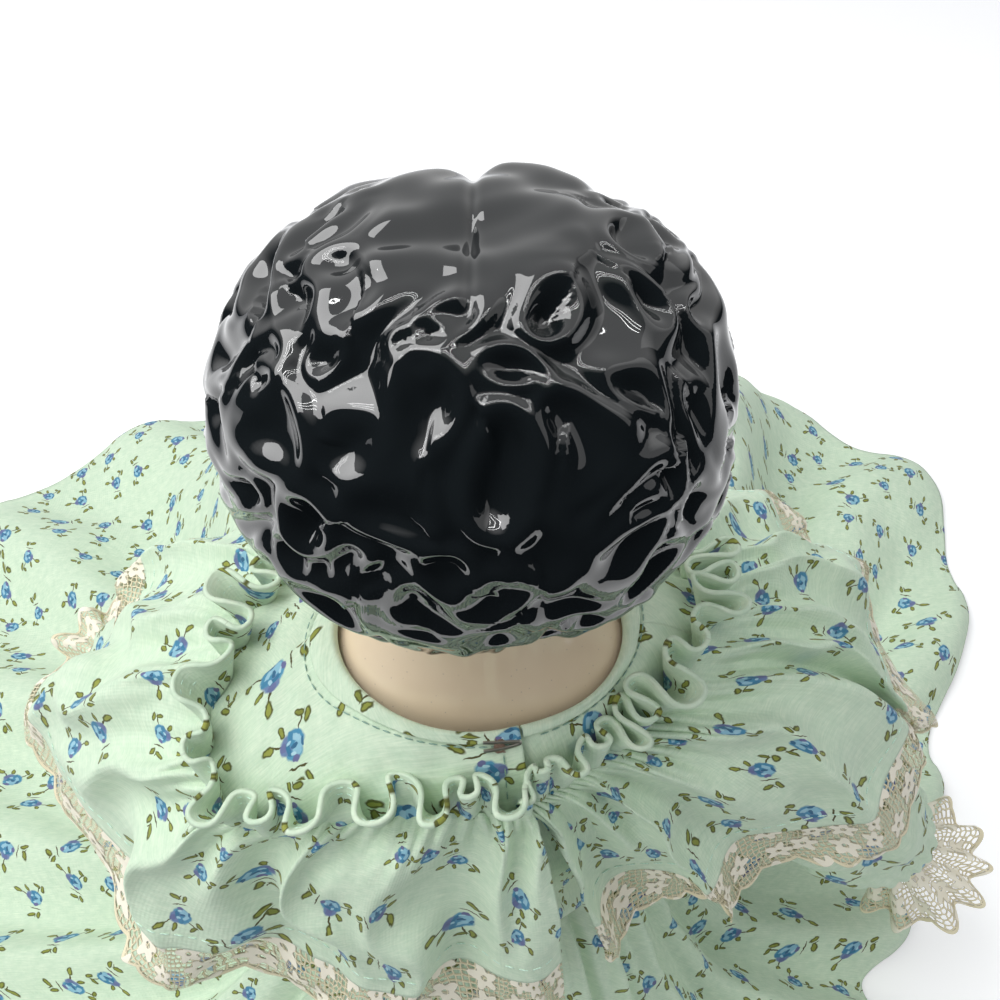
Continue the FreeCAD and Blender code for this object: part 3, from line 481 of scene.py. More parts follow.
# %% Head sizes
# All in mm, with turns in radians. The plate's shares are its height, half width and half depth from the rim
# up. A curl reaches curl_spread round its middle, and curl_melt says how sharply it stands from the next one.
head_centre_z = 228.0
skull_width, skull_front, skull_back = 33.4, 27.5, 31.6
skull_top, skull_bottom = 29.0, 34.6
neck_turn = math.radians(153)
neck_radius = 14.5
neck_top = 201.0
plate_floor, plate_height = 145.0, 47.0
plate_half_width, plate_half_depth = 42.0, 27.2
plate_shares = [(0.0, 1.0, 1.0), (0.23, 0.975, 0.965), (0.40, 0.885, 0.895), (0.53, 0.713, 0.772),
                (0.64, 0.552, 0.667), (0.77, 0.414, 0.579), (0.89, 0.356, 0.530), (1.0, 0.350, 0.530)]
hair_depth = 1.6
curl_count = 150
curl_distance, curl_spread, curl_melt = 36.0, 0.36, 2.1
curl_ring, curl_band = 3.5, 2.0
curl_height, curl_pit = 1.75, 1.2
part_depth, part_width = 3.4, 2.2
crease_depth, crease_width = 0.7, 0.8
head_columns, head_rows = 372, 210
neck_rows = 48

# %% Curls of the hair
def curl_layout():
    """Curl centres spread evenly over a sphere of directions, each with a size, a hand and a lean."""
    draw = np.random.default_rng(11)
    order = np.arange(curl_count) + 0.5
    height = 1 - 2 * order / curl_count
    around = order * math.pi * (1 + math.sqrt(5))
    flat = np.sqrt(1 - height**2)
    centres = oval_points(around, flat, flat, height)
    centres = unit(centres + draw.normal(scale=0.045, size=centres.shape))
    sizes = 0.75 + 0.65 * draw.random(curl_count)
    hands = draw.choice([-1.0, 1.0], curl_count)
    leans = math.tau * draw.random(curl_count)
    return centres, sizes, hands, leans, draw.random(curl_count)


def curl_relief(ways):
    """Height in mm of the curls over unit directions from the head's centre, blended where they meet."""
    total = np.full(len(ways), 1e-3)
    for centre, size, hand, lean, pit_luck in zip(*curl_layout()):
        near = np.nonzero(ways @ centre > math.cos(curl_spread))[0]
        east = np.cross([0.0, 0.0, 1.0], centre)
        east /= np.linalg.norm(east) + 1e-9
        north = np.cross(centre, east)
        along = math.cos(lean) * east + math.sin(lean) * north
        across = np.cross(centre, along)
        x = ways[near] @ along * curl_distance / (1.1 + 0.5 * pit_luck)
        y = ways[near] @ across * curl_distance
        far = np.hypot(x, y) / size
        angle = np.arctan2(y, x) * hand
        ring = curl_ring * (0.80 + 0.42 * ((angle + math.pi) / math.tau))
        wall = np.exp(-((far - ring) / curl_band) ** 2)
        pit = np.exp(-(far / (0.62 * curl_ring)) ** 2)
        skirt = np.exp(-(far / (2.1 * curl_ring)) ** 4)
        height = curl_height * size * wall + 0.9 * skirt - curl_pit * pit * (1.15 if pit_luck < 0.5 else 0.3)
        total[near] += np.exp(curl_melt * height) * skirt
    return np.log(total + 0.6) / curl_melt


def hair_edge(ways):
    """How far each direction lies inside the hair, in degrees: below zero is bare porcelain."""
    around = np.degrees(np.abs(np.arctan2(ways[:, 0], ways[:, 1])))
    above = np.degrees(np.arcsin(np.clip(ways[:, 2], -1, 1)))
    side = 66.0 + 7.0 * smoothly(-5.0, -40.0, above)
    brow = 33.0 + 2.0 * np.cos(np.radians(around * 5.2))
    shape = (around / side) ** 2.6 + (np.maximum(above + 4.0, 0) / (brow + 4.0)) ** 2.2
    face = (shape ** (1 / 2.4) - 1) * 45.0
    nape = above + 52.0 - 9.0 * smoothly(100.0, 70.0, around)
    frill = 2.2 * np.sin(np.radians(around * 19.0)) + 1.4 * np.sin(np.radians(around * 31.0 + 50.0))
    return np.minimum(face + 0.8 * frill, nape + frill)


# %% Face relief
# Swellings of the face in mm: middle across and up, half width, half height, and how far each stands out
face_bumps = [
    (0.0, 215.6, 2.5, 2.3, 3.4), (0.0, 220.5, 1.9, 4.6, 2.3), (0.0, 227.0, 2.4, 5.0, 0.9),
    (0.0, 208.4, 3.9, 1.0, 1.3), (0.0, 205.3, 3.1, 1.1, 1.5), (0.0, 211.6, 1.0, 1.6, -0.5),
    (0.0, 206.9, 4.2, 0.45, -0.8), (0.0, 202.6, 3.6, 1.0, -0.7), (0.0, 198.2, 4.8, 3.2, 2.2),
]
paired_bumps = [
    (2.6, 214.6, 1.5, 1.4, 1.2), (9.6, 225.6, 4.6, 3.0, -1.7), (9.6, 225.2, 3.2, 1.8, 0.9),
    (9.8, 231.0, 5.6, 1.8, 0.6), (13.5, 213.0, 7.5, 7.0, 1.5),
]
face_bumps += [(side * across, *rest) for across, *rest in paired_bumps for side in (-1, 1)]


def face_relief(x, z, front):
    """Height of the face's features over the casting in mm. front is 1 straight ahead and 0 at the side."""
    total = np.zeros_like(x)
    for middle, height, wide, tall, stand in face_bumps:
        total += stand * np.exp(-((x - middle) / wide) ** 2 - ((z - height) / tall) ** 2)
    return total * smoothly(0.25, 0.6, front)


# %% Skin of the casting
on_head = head_rows / (head_rows + neck_rows)
skull_power = 2.05
throat_start = math.radians(137)


def bare_skull(around, v):
    """Directions from the head's centre, the casting's place there with no hair, and how far it is throat."""
    fall = np.clip(v / on_head, 0, 1) * neck_turn
    ways = oval_points(around, np.sin(fall), np.sin(fall), np.cos(fall))
    depth = np.where(ways[:, 1] > 0, skull_front, skull_back)
    tall = np.where(ways[:, 2] > 0, skull_top, skull_bottom)
    half_sizes = np.stack([np.full_like(v, skull_width), depth, tall], axis=1)
    reach = np.sum((np.abs(ways) / half_sizes) ** skull_power, axis=1) ** (-1 / skull_power)
    throat = smoothly(throat_start, neck_turn, fall)
    joined = (head_centre_z - neck_top) / -math.cos(neck_turn)
    bare = (reach + (joined - reach) * throat)[:, None] * ways
    jaw = smoothly(8.0, -22.0, bare[:, 2]) * smoothly(-12.0, 16.0, bare[:, 1]) * (1 - throat)
    chin = smoothly(-4.0, -27.0, bare[:, 2]) * (1 - throat)
    bare[:, 0] *= 1 - 0.06 * jaw - 0.17 * chin
    bare[:, 1] *= 1 - 0.08 * chin * smoothly(0.0, -8.0, bare[:, 1])
    return ways, bare, throat


def hair_relief(ways, bare, throat):
    """Height of the moulded hair over its foot in mm: curls, the combed crown, parting and crease."""
    warp = np.stack([ripple(bare, 15.0, seed) for seed in (3, 4, 5)], axis=1) * 0.05
    curls = curl_relief(unit(ways + warp * (1 - throat)[:, None]))
    back = np.degrees(np.arctan2(-bare[:, 1], bare[:, 2]))
    aside = np.abs(bare[:, 0])
    notch = smoothly(-8.0, -40.0, back) * smoothly(-150.0, -120.0, back)
    crease = smoothly(42.0, 24.0, back) * (1 - 0.6 * notch)
    crown = smoothly(19.0, 8.0, np.hypot(aside, np.maximum(0.55 * (back - 8.0), 0)))
    brow = smoothly(9.0, 20.0, bare[:, 1]) * smoothly(6.0, 14.0, bare[:, 2])
    combed = np.maximum(crown * smoothly(40.0, 12.0, back), brow)
    strand = bare[:, 1] * 0.9 + 0.25 * aside + 1.5 * ripple(bare, 22.0, 8)
    swept = 1.5 + 0.35 * np.sin(strand * math.tau / 8.5) + 0.8 * ripple(bare, 19.0, 9)
    swept += 1.5 * smoothly(1.0, 12.0, aside) * smoothly(30.0, 16.0, aside)
    relief = curls * (1 - combed) + swept * combed
    relief += 0.55 * ripple(bare, 26.0, 21) + 0.16 * ripple(bare, 5.5, 22)
    relief -= part_depth * np.exp(-(aside / part_width) ** 2) * notch
    return relief - crease_depth * np.exp(-(aside / crease_width) ** 2) * crease


def neck_and_plate(around, v):
    """The round neck runs down into the oval shoulder plate."""
    low = np.clip((v - on_head) / (1 - on_head), 0, 1)
    z = neck_top - (neck_top - plate_floor) * low ** 0.9
    share = (z - plate_floor) / plate_height
    melt = smoothly(neck_top, plate_floor + plate_height - 3.0, z)
    wide = plate_half_width * read_table(plate_shares, share)
    deep = plate_half_depth * read_table(plate_shares, share, 2)
    return oval_points(around, neck_radius + (wide - neck_radius) * melt,
                       neck_radius + (deep - neck_radius) * melt, z)


def head_skin(u, v):
    """u runs round from the back, v from the crown to the plate's rim."""
    around = math.tau * u - math.pi / 2
    ways, bare, throat = bare_skull(around, v)
    features = face_relief(bare[:, 0], bare[:, 2] + head_centre_z, ways[:, 1]) * (1 - throat)
    inside = hair_edge(ways)
    cover = smoothly(-2.2, 2.6, inside)
    lift = cover * (hair_depth + hair_relief(ways, bare, throat)) + (1 - cover) * features
    skin = bare + ways * lift[:, None] + np.array([0, 0, head_centre_z])
    below = v > on_head
    skin[below] = neck_and_plate(around, v)[below]
    head_skin.hair = np.where(below, -20.0, inside)
    return skin.T


# %% Glazes
def face_place(tree):
    """Object coordinates in mm, seen from the front: x across and z up, for the painted face."""
    place = add_node(tree, "TexCoord").outputs["Object"]
    parts = add_node(tree, "SeparateXYZ", {0: place})
    front = add_node(tree, "CombineXYZ", {0: parts.outputs["X"], 1: parts.outputs["Z"]})
    scaled = add_node(tree, "VectorMath", {0: front.outputs[0], "Scale": 1 / MM}, operation="SCALE")
    forward = math_node(tree, "GREATER_THAN", parts.outputs["Y"], 0.0)
    return scaled.outputs[0], forward


def half_oval(tree, place, whole, height, above):
    """Keeps the part of a mask that lies above or below a height in mm."""
    parts = add_node(tree, "SeparateXYZ", {0: place})
    kept = ramp_node(tree, parts.outputs["Y"], height - 0.08 * above, height + 0.08 * above)
    return math_node(tree, "MULTIPLY", whole, kept)


def ring_mask(tree, place, centre, radii, width):
    """A thin painted line along an oval."""
    outer = oval_mask(tree, place, centre, (radii[0] + width, radii[1] + width), rim=0.05)
    inner = oval_mask(tree, place, centre, radii, rim=0.05)
    return math_node(tree, "SUBTRACT", outer, inner)


def painted_eye(tree, place, side):
    """Brush strokes of one eye and brow, as colours and masks, from the first laid on to the last."""
    x, z = 9.4 * side, 224.9
    lid = ring_mask(tree, place, (x, z - 0.4), (3.9, 2.3), 0.36)
    crease = ring_mask(tree, place, (x, z - 0.2), (4.1, 3.5), 0.22)
    lower = ring_mask(tree, place, (x, z + 0.5), (3.3, 2.3), 0.14)
    brow = ring_mask(tree, place, (x + 0.3 * side, z - 1.4), (6.6, 7.2), 0.75)
    return [("#f7f5ef", oval_mask(tree, place, (x, z), (3.7, 2.1), -4 * side)),
            ("#4d86b8", oval_mask(tree, place, (x, z + 0.1), (1.75, 1.85))),
            ("#274b75", ring_mask(tree, place, (x, z + 0.1), (1.6, 1.7), 0.2)),
            ("#12100f", oval_mask(tree, place, (x, z + 0.2), (0.85, 0.9))),
            ("#ffffff", oval_mask(tree, place, (x + 0.5, z + 0.8), (0.3, 0.3))),
            ("#1d1512", half_oval(tree, place, lid, z + 0.3, 1)),
            ("#b9644f", half_oval(tree, place, crease, z + 1.6, 1)),
            ("#8a6a5a", half_oval(tree, place, lower, z - 0.8, -1)),
            ("#4b352a", half_oval(tree, place, brow, z + 3.6, 1))]


def paint_face(tree, under):
    """China painting: brows, eyes, lips and cheeks laid on with a fine brush before the last firing."""
    place, forward = face_place(tree)
    strokes = []
    for side in (-1, 1):
        strokes += [("#eab49f", oval_mask(tree, place, (14.0 * side, 212.0), (7.0, 5.6), 0, 0.9)),
                    *painted_eye(tree, place, side),
                    ("#c0594c", oval_mask(tree, place, (1.6 * side, 213.3), (0.6, 0.32))),
                    ("#cf5d50", oval_mask(tree, place, (4.6 * side, 223.6), (0.35, 0.3))),
                    ("#c9453f", oval_mask(tree, place, (1.55 * side, 207.8), (1.9, 0.85), -14 * side))]
    strokes += [("#cf4c45", oval_mask(tree, place, (0.0, 205.7), (2.6, 1.15))),
                ("#8e2723", oval_mask(tree, place, (0.0, 206.85), (3.4, 0.2), 0, 0.3))]
    for shade, mask in strokes:
        under = paint_over(tree, under, mask, colour(shade))
    return under, forward


def glazed_head_material():
    """Hard-paste porcelain under clear glaze, its warm cream partly its own and partly a painted warm
    reflection, with jet-black glaze on the hair: a deep wet shine.
    """
    material, tree, shader = new_material("glazed_porcelain_black_hair")
    place = add_node(tree, "TexCoord").outputs["Object"]
    body = add_node(tree, "TexNoise", {"Vector": place, "Scale": 45.0, "Detail": 3.0})
    # The cream is warmer than the limbs' porcelain: its own tint with a painted warm reflection in it.
    bare = add_node(tree, "ValToRGB", {0: body.outputs["Fac"]},
                    stops=((0.35, colour("#e2cdae")), (0.7, colour("#ecd9bc")))).outputs[0]
    painted, forward = paint_face(tree, bare)
    china = paint_over(tree, bare, forward, painted)
    speck = add_node(tree, "TexVoronoi", {"Vector": place, "Scale": 620.0, "Randomness": 1.0})
    fleck = ramp_node(tree, speck.outputs["Distance"], 0.09, 0.06)
    china = paint_over(tree, china, fleck, colour("#cbb8a2"))
    hair = add_node(tree, "Attribute", attribute_name="hair").outputs["Fac"]
    edge = ramp_node(tree, hair, -0.35, 0.35)
    rough = add_node(tree, "MapRange", {"Value": edge, "To Min": 0.13, "To Max": 0.035})
    orange_peel = add_node(tree, "TexNoise", {"Vector": place, "Scale": 260.0, "Detail": 1.0})
    bump = add_node(tree, "Bump",
                    {"Height": orange_peel.outputs["Fac"], "Strength": 0.12, "Distance": 0.1 * MM})
    set_inputs(tree, shader, {"Base Color": paint_over(tree, china, edge, colour("#14181a")),
                              "Roughness": rough.outputs[0], "Normal": bump.outputs[0], "IOR": 1.62,
                              "Coat Weight": 0.35, "Coat Roughness": 0.02})
    return material


# %% Make the head
head = make_piece("moulded_head", head_columns, head_rows + neck_rows, head_skin,
                  material=glazed_head_material())
hair = head.data.attributes.new("hair", "FLOAT", "POINT")
hair.data.foreach_set("value", head_skin.hair.astype(np.float32))


def extrude_rim(bm, edges):
    """Extrudes edges in place. Gives the new edges and the new vertices."""
    made = bmesh.ops.extrude_edge_only(bm, edges=edges)["geom"]
    return ([item for item in made if isinstance(item, bmesh.types.BMEdge)],
            [item for item in made if isinstance(item, bmesh.types.BMVert)])


bm = bmesh.new()
bm.from_mesh(head.data)
bmesh.ops.remove_doubles(bm, verts=bm.verts, dist=MERGE)
rim, rim_verts = extrude_rim(bm, [edge for edge in bm.edges if edge.is_boundary])
bmesh.ops.scale(bm, verts=rim_verts, vec=(0.93, 0.90, 1.0))
rim, rim_verts = extrude_rim(bm, rim)
bmesh.ops.translate(bm, verts=rim_verts, vec=(0, 0, 12 * MM))
bmesh.ops.recalc_face_normals(bm, faces=bm.faces)
bm.to_mesh(head.data)
bm.free()
wear(head, "body", "glazed_porcelain", "shoulder_head")
print("head faces:", len(head.data.polygons), "lowest and highest:", round(head.bound_box[0][2], 4),
      round(head.bound_box[1][2], 4))

# %% [markdown]
# ## The bodice
# The bodice is three panels: one front and two backs that overlap at the centre, faced at the neck and sewn
# into the gathered ruffle a few centimetres lower. It could be draped by simulation, but its shape is fixed
# by two lines that can be read off the doll: the neck edge and the seam of the ruffle. Each panel is drawn
# between these two lines and then falls to the waist. The print's map is rings round the neck.

# %% The dress's guide lines
bodice_floor, bodice_height = 98.0, 76.5
bodice_half_width, bodice_half_depth = 45.0, 32.0
bodice_shares = [(0.0, 0.665, 0.765), (0.18, 0.725, 0.825), (0.37, 0.825, 0.905), (0.52, 0.945, 0.975),
                 (0.65, 1.0, 1.0), (0.78, 0.983, 0.975), (0.875, 0.905, 0.92), (0.94, 0.765, 0.835),
                 (1.0, 0.592, 0.706)]
# Seam of the ruffle and its outer edge, from the centre back to the centre front: share, x, y, z
seam_line = {
    "right": [(0.0, 6.0, -29.6, 161.5), (0.12, 13.5, -26.5, 163.0), (0.25, 22.5, -20.5, 165.0),
              (0.37, 31.5, -12.5, 167.5), (0.50, 41.0, 0.5, 170.5), (0.62, 42.5, 11.0, 170.0),
              (0.78, 34.0, 23.0, 166.0), (0.90, 17.0, 30.0, 163.0), (1.0, 0.3, 32.0, 161.5)],
    "left": [(0.0, 9.0, -31.2, 162.5), (0.12, -5.0, -31.0, 162.5), (0.25, -25.0, -31.5, 161.0),
             (0.36, -41.0, -31.0, 157.5), (0.45, -48.5, -23.0, 161.0), (0.55, -47.0, -8.0, 167.5),
             (0.65, -42.5, 6.0, 170.5), (0.80, -32.0, 22.5, 166.0), (0.90, -16.0, 30.0, 163.0),
             (1.0, -0.3, 32.0, 161.5)],
}
edge_line = {
    "right": [(0.0, 25.0, -34.0, 102.0), (0.14, 45.0, -27.5, 113.0), (0.30, 72.5, -19.0, 121.0),
              (0.44, 94.0, 3.0, 122.0), (0.56, 99.0, 24.0, 129.0), (0.68, 87.0, 45.0, 134.0),
              (0.78, 78.0, 56.0, 142.0), (0.90, 45.0, 67.0, 121.0), (1.0, 0.3, 64.0, 112.0)],
    "left": [(0.0, 18.0, -42.5, 97.0), (0.12, -8.0, -47.5, 97.0), (0.26, -38.0, -44.0, 101.0),
             (0.38, -71.0, -32.0, 106.0), (0.48, -99.0, -4.0, 112.0), (0.57, -102.0, 20.0, 118.0),
             (0.68, -84.0, 38.0, 131.0), (0.78, -68.0, 51.0, 141.0), (0.90, -40.0, 66.0, 120.0),
             (1.0, -0.3, 64.0, 112.0)],
}
neck_arc = 26.0
yoke_share = 0.42
cloth_wall = 0.45
opening_x = 7.0
# Below the seam the panels keep inside this half width in mm, so that the sleeves stay clear of them
sleeve_clearance, side_ease = 44.0, 1.2


def line_at(line, share):
    """Places in mm along one of the guide lines."""
    return np.stack([read_table(line, share, column) for column in (1, 2, 3)], axis=1)


def bodice_ring(height):
    """Half width and half depth of the bodice at heights in mm."""
    share = (height - bodice_floor) / bodice_height
    return (bodice_half_width * read_table(bodice_shares, share),
            bodice_half_depth * read_table(bodice_shares, share, 2))


def bodice_point(name, turn, v, stand=0.0):
    """A place on the bodice. turn runs from the centre back to the centre front, v from neck to waist."""
    side = SIDES[name]
    lap = smoothly(0.28, 0.0, turn) * opening_x * (1.0 if name == "left" else 0.55)
    angle = math.pi * (turn - 0.5)
    top = np.full_like(turn, bodice_floor + bodice_height)
    wide, deep = bodice_ring(top)
    neck = np.stack([side * wide * np.cos(angle), deep * np.sin(angle), top], axis=1)
    reach = np.hypot(neck[:, 0], neck[:, 1])
    neck[:, 0] += lap
    neck[:, :2] *= (reach / np.hypot(neck[:, 0], neck[:, 1]))[:, None]
    seam = line_at(seam_line[name], turn)
    seam[:, 2] -= 0.6
    share = np.clip(v / yoke_share, 0, 1)
    yoke = neck + (seam - neck) * share[:, None]
    yoke[:, 2] += 2.2 * np.sin(math.pi * share) * (1 - 0.35 * share) + 0.5 * share
    down = np.clip((v - yoke_share) / (1 - yoke_share), 0, 1)
    height = seam[:, 2] + (bodice_floor - seam[:, 2]) * down
    wide, deep = bodice_ring(height)
    ring = np.stack([side * wide * np.cos(angle) + 0.5 * lap, deep * np.sin(angle), height], axis=1)
    wide, deep = bodice_ring(seam[:, 2])
    at_seam = np.stack([side * wide * np.cos(angle) + 0.5 * lap, deep * np.sin(angle), seam[:, 2]], axis=1)
    body = ring + (seam - at_seam) * ((1 - down) ** 2)[:, None]
    point = np.where((v < yoke_share)[:, None], yoke, body)
    outward = np.stack([side * np.cos(angle), np.sin(angle), np.zeros_like(angle)], axis=1)
    lift = np.where(v < yoke_share, 1.0, 0.15)[:, None] * np.array([0, 0, 1.0]) + 0.6 * outward
    crease = 0.30 * ripple(point, 19.0, 31) + 0.14 * ripple(point, 7.0, 32)
    pull = np.sin(turn * 62.0 + 1.5 * ripple(point, 25.0, 33))
    pull = pull * smoothly(0.30, 0.40, v) * smoothly(0.75, 0.45, v)
    edge = smoothly(0.0, 0.04, v)
    point = point + outward * (3.2 * smoothly(0.88, 1.0, v))[:, None] * np.array([1.0, 1.0, 0.0])
    point = point + lift * (stand + (crease * edge + 0.45 * pull))[:, None]
    over = np.maximum(np.abs(point[:, 0]) - sleeve_clearance, 0)
    inside = np.minimum(np.abs(point[:, 0]), sleeve_clearance) + side_ease * (1 - np.exp(-over / side_ease))
    inside = np.sign(point[:, 0]) * inside
    point[:, 0] += (inside - point[:, 0]) * smoothly(yoke_share + 0.02, yoke_share + 0.13, v)
    return point


def bodice_map(name, turn, v):
    """The flat pattern: rings round the neck, as far out as the cloth runs down."""
    run, steps = np.zeros_like(v), 14
    last = bodice_point(name, turn, v * 0)
    for step in range(1, steps + 1):
        here = bodice_point(name, turn, v * step / steps)
        run += np.linalg.norm(here - last, axis=1)
        last = here
    angle = SIDES[name] * math.pi * turn + (0.9 if name == "right" else 0.0)
    return (neck_arc + run) * np.sin(angle), -(neck_arc + run) * np.cos(angle)


def make_back_panel(name, stand, columns):
    """A back panel: the half of the way from the centre back to the centre front."""
    panel = make_piece(f"bodice_{name}_back", columns, 110,
                       lambda u, v: bodice_point(name, 0.5 * u, v, stand).T,
                       cloth_map=lambda u, v: bodice_map(name, 0.5 * u, v),
                       wall=cloth_wall, material=calico)
    wear(panel, "body", "calico", f"bodice_back_{name}")


# %% Bodice panels
def front_point(u, v):
    """The front panel runs round from the right shoulder to the left one."""
    right = bodice_point("right", np.clip(0.5 + u, 0.5, 1.0), v)
    left = bodice_point("left", np.clip(1.5 - u, 0.5, 1.0), v)
    return np.where((u < 0.5)[:, None], right, left).T


front_panel = make_piece("bodice_front_panel", 150, 100, front_point, wall=cloth_wall, material=calico,
                         cloth_map=lambda u, v: bodice_map("right", 0.5 + u, v))
wear(front_panel, "body", "calico", "bodice_front")
make_back_panel("left", 0.55, 110)
make_back_panel("right", 0.0, 100)
print("bodice panels made")

# %% [markdown]
# ## Neck facing and stitches
# A dressmaker turns a narrow facing over the raw neckline and runs a line of stitches round it. The
# stitches are real thread here too: short rounded beads set along a path, because a bump line would vanish
# in a close view. A bent wire hook under the lap closes the top of the opening.

# %% Stitch helper
def sew_line(name, path, stitch, gap, radius, material):
    """A row of stitches in mm along a path of points: one small capsule each."""
    points = np.array(path)
    steps = np.linalg.norm(np.diff(points, axis=0), axis=1)
    run = np.concatenate([[0], np.cumsum(steps)])
    bm = bmesh.new()
    at = gap
    while at + stitch < run[-1]:
        ends = [Vector([np.interp(d, run, points[:, k]) for k in range(3)]) for d in (at, at + stitch)]
        way = ends[1] - ends[0]
        turn = way.to_track_quat("Z", "Y").to_matrix().to_4x4()
        made = bmesh.ops.create_uvsphere(bm, u_segments=6, v_segments=5, radius=radius * MM, matrix=turn)
        middle = (ends[0] + way / 2) * MM
        bmesh.ops.translate(bm, verts=made["verts"], vec=middle)
        along = way.normalized()
        for vert in made["verts"]:
            vert.co += along * (vert.co - middle).dot(along) * (stitch / (2 * radius) - 1)
        at += stitch + gap
    for face in bm.faces:
        face.smooth = True
    mesh = bpy.data.meshes.new(name)
    bm.to_mesh(mesh)
    bm.free()
    mesh.materials.append(material)
    row = bpy.data.objects.new(name, mesh)
    bpy.context.collection.objects.link(row)
    return row


# Length, gap and thread radius of each kind of stitch in mm
neckline_stitch = (1.6, 0.5, 0.15)
opening_stitch = (1.6, 0.7, 0.15)
hook_stitch = (1.1, 0.2, 0.14)
hem_stitch = (1.9, 0.8, 0.14)
heading_stitch = (1.3, 0.6, 0.12)


def thread_material(name, shade):
    """Mercerised sewing thread: twisted, with a soft sheen and a painted shine: lighter colour along the
    twist's bands.
    """
    material, tree, shader = new_material(name)
    place = add_node(tree, "TexCoord").outputs["Object"]
    twist = add_node(tree, "TexWave", {"Vector": place, "Scale": 900.0, "Distortion": 0.5},
                     bands_direction="DIAGONAL").outputs["Fac"]
    # lit_shade is the thread's colour made lighter: a painted shine on the twist.
    lit_shade = tuple(min(1.0, 1.25 * c) for c in colour(shade))
    tone = add_node(tree, "ValToRGB", {0: twist}, stops=((0.0, colour(shade)), (1.0, lit_shade)))
    bump = add_node(tree, "Bump", {"Height": twist, "Strength": 0.5, "Distance": 0.05 * MM})
    set_inputs(tree, shader, {"Base Color": tone.outputs[0], "Normal": bump.outputs[0], "Roughness": 0.6,
                              "Sheen Weight": 0.2})
    return material


def plain_steel():
    """Tinned steel wire of a dress hook: dull with fine scratches."""
    material, tree, shader = new_material("tinned_steel_wire")
    place = add_node(tree, "TexCoord").outputs["Object"]
    scratch = add_node(tree, "TexNoise", {"Vector": place, "Scale": 900.0})
    rough = add_node(tree, "MapRange", {"Value": scratch.outputs["Fac"], "To Min": 0.28, "To Max": 0.5})
    set_inputs(tree, shader, {"Base Color": colour("#b9b6ae"), "Metallic": 1.0,
                              "Roughness": rough.outputs[0]})
    return material


mint_thread = thread_material("mint_sewing_thread", "#c2dccb")
# The neckline and opening stitches use the mint thread painted darker: painted shade.
facing_thread_painted_shade = thread_material("mint_thread_painted_shade", "#84a394")
brown_thread = thread_material("brown_button_thread", "#6f5a4a")

# %% Neck facing
# Shares of the way down the bodice, and how far in mm the facing stands off each back panel
facing_drop, facing_seam_drop = 0.062, 0.085
left_stand, right_stand = 1.05, 0.65
facing_radius, facing_width = 27.0, 4.0


def facing_point(u, v):
    """A band on the neck's edge, one grid from the left back's edge round the front to the right back's."""
    around = u * 2
    on_left = around < 1
    turn = np.where(on_left, around, 2 - around)
    fold = smoothly(0.30, 0.0, v)
    drop = facing_drop * np.clip((v - 0.2) / 0.8, 0, 1)
    left = bodice_point("left", turn, drop, left_stand)
    right = bodice_point("right", np.maximum(turn, 0.045), drop, right_stand)
    point = np.where(on_left[:, None], left, right)
    point -= unit(point * np.array([1, 1, 0])) * (0.9 * fold)[:, None]
    point[:, 2] += 0.25 * np.sin(math.pi * v) - 1.2 * fold**2
    return point.T


def facing_map(u, v):
    """A narrow ring of the print, of the neck's own size in mm."""
    reach = facing_radius + facing_width * v
    return reach * np.cos(math.tau * u), reach * np.sin(math.tau * u)


facing = make_piece("neck_facing", 300, 16, facing_point, cloth_map=facing_map, wall=0.5, material=calico)
wear(facing, "body", "calico", "neck_binding")

for name, stand, start in (("left", 0.95, 0), ("right", 0.4, 14)):
    turns = np.linspace(0.012, 1.0, 200)[start:]
    path = bodice_point(name, turns, np.full(len(turns), facing_seam_drop), stand)
    stitches = sew_line(f"neck_stitches_{name}", path, *neckline_stitch, facing_thread_painted_shade)
    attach(stitches, "body")
path = bodice_point("left", np.full(80, 0.035), np.linspace(0.03, 0.36, 80), 0.95)
edge_stitches = sew_line("opening_stitches", path, *opening_stitch, facing_thread_painted_shade)
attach(edge_stitches, "body")

# %% Neck hook
hook_wire_radius = 0.32


def hook_line(share):
    """Middle line of the bent wire at the top of the opening, a flat U that reaches the panel's edge."""
    return bodice_point("left", 0.065 - 0.062 * np.sin(math.pi * share), 0.055 + 0.055 * share, 1.3)


def hook_place(u, v):
    """The wire's round wall along its middle line."""
    ahead = unit(hook_line(np.minimum(u + 0.03, 1)) - hook_line(np.maximum(u - 0.03, 0)))
    return tube_wall(hook_line(u), ahead, (0.0, 0.0, 1.0), hook_wire_radius, v).T


hook = make_piece("neck_hook", 40, 10, hook_place, closed=True, material=plain_steel())
wear(hook, "body", "hook_steel", "back_hook")
hook_path = bodice_point("left", 0.03 + 0.02 * np.tile([0.0, 1.0], 10), np.linspace(0.045, 0.125, 20), 1.35)
hook_stitches = sew_line("hook_stitches", hook_path, *hook_stitch, brown_thread)
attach(hook_stitches, "body")
print("facing and stitches made")

# %% [markdown]
# ## The gathered ruffle
# A long strip of calico is gathered on two lines of stitches and sewn to the yoke. Above the stitches it
# stands up as a frilled heading, and below them it flares over the sleeves to a lace edge. Cloth
# simulation would need thousands of steps to gather a strip to half its length, so the gathers are built as
# what they are: many tight waves at the stitch line that join into a few broad folds, which roll over as
# cloth does.

# %% Ruffle
crown_share, crown_drop = 0.60, 3.0
lace_start, lace_overlap = 0.78, 0.015
gather_count = 56
fold_count, fold_depth, fold_roll = 6.0, 5.0, 0.65
flap_turn, flap_height, flap_roll = 0.415, 6.0, 7.0
ruffle_strip_length, ruffle_strip_depth = 300.0, 62.0
ruffle_lace_depth = 17.0


def ruffle_base(name, turn, drop):
    """The ruffle with no folds: out over the sleeve and down."""
    top, edge = line_at(seam_line[name], turn), line_at(edge_line[name], turn)
    crown = top + (edge - top) * crown_share
    crown[:, 2] = top[:, 2] - crown_drop
    d = drop[:, None]
    return top * (1 - d) ** 2 + crown * (2 * d * (1 - d)) + edge * d**2


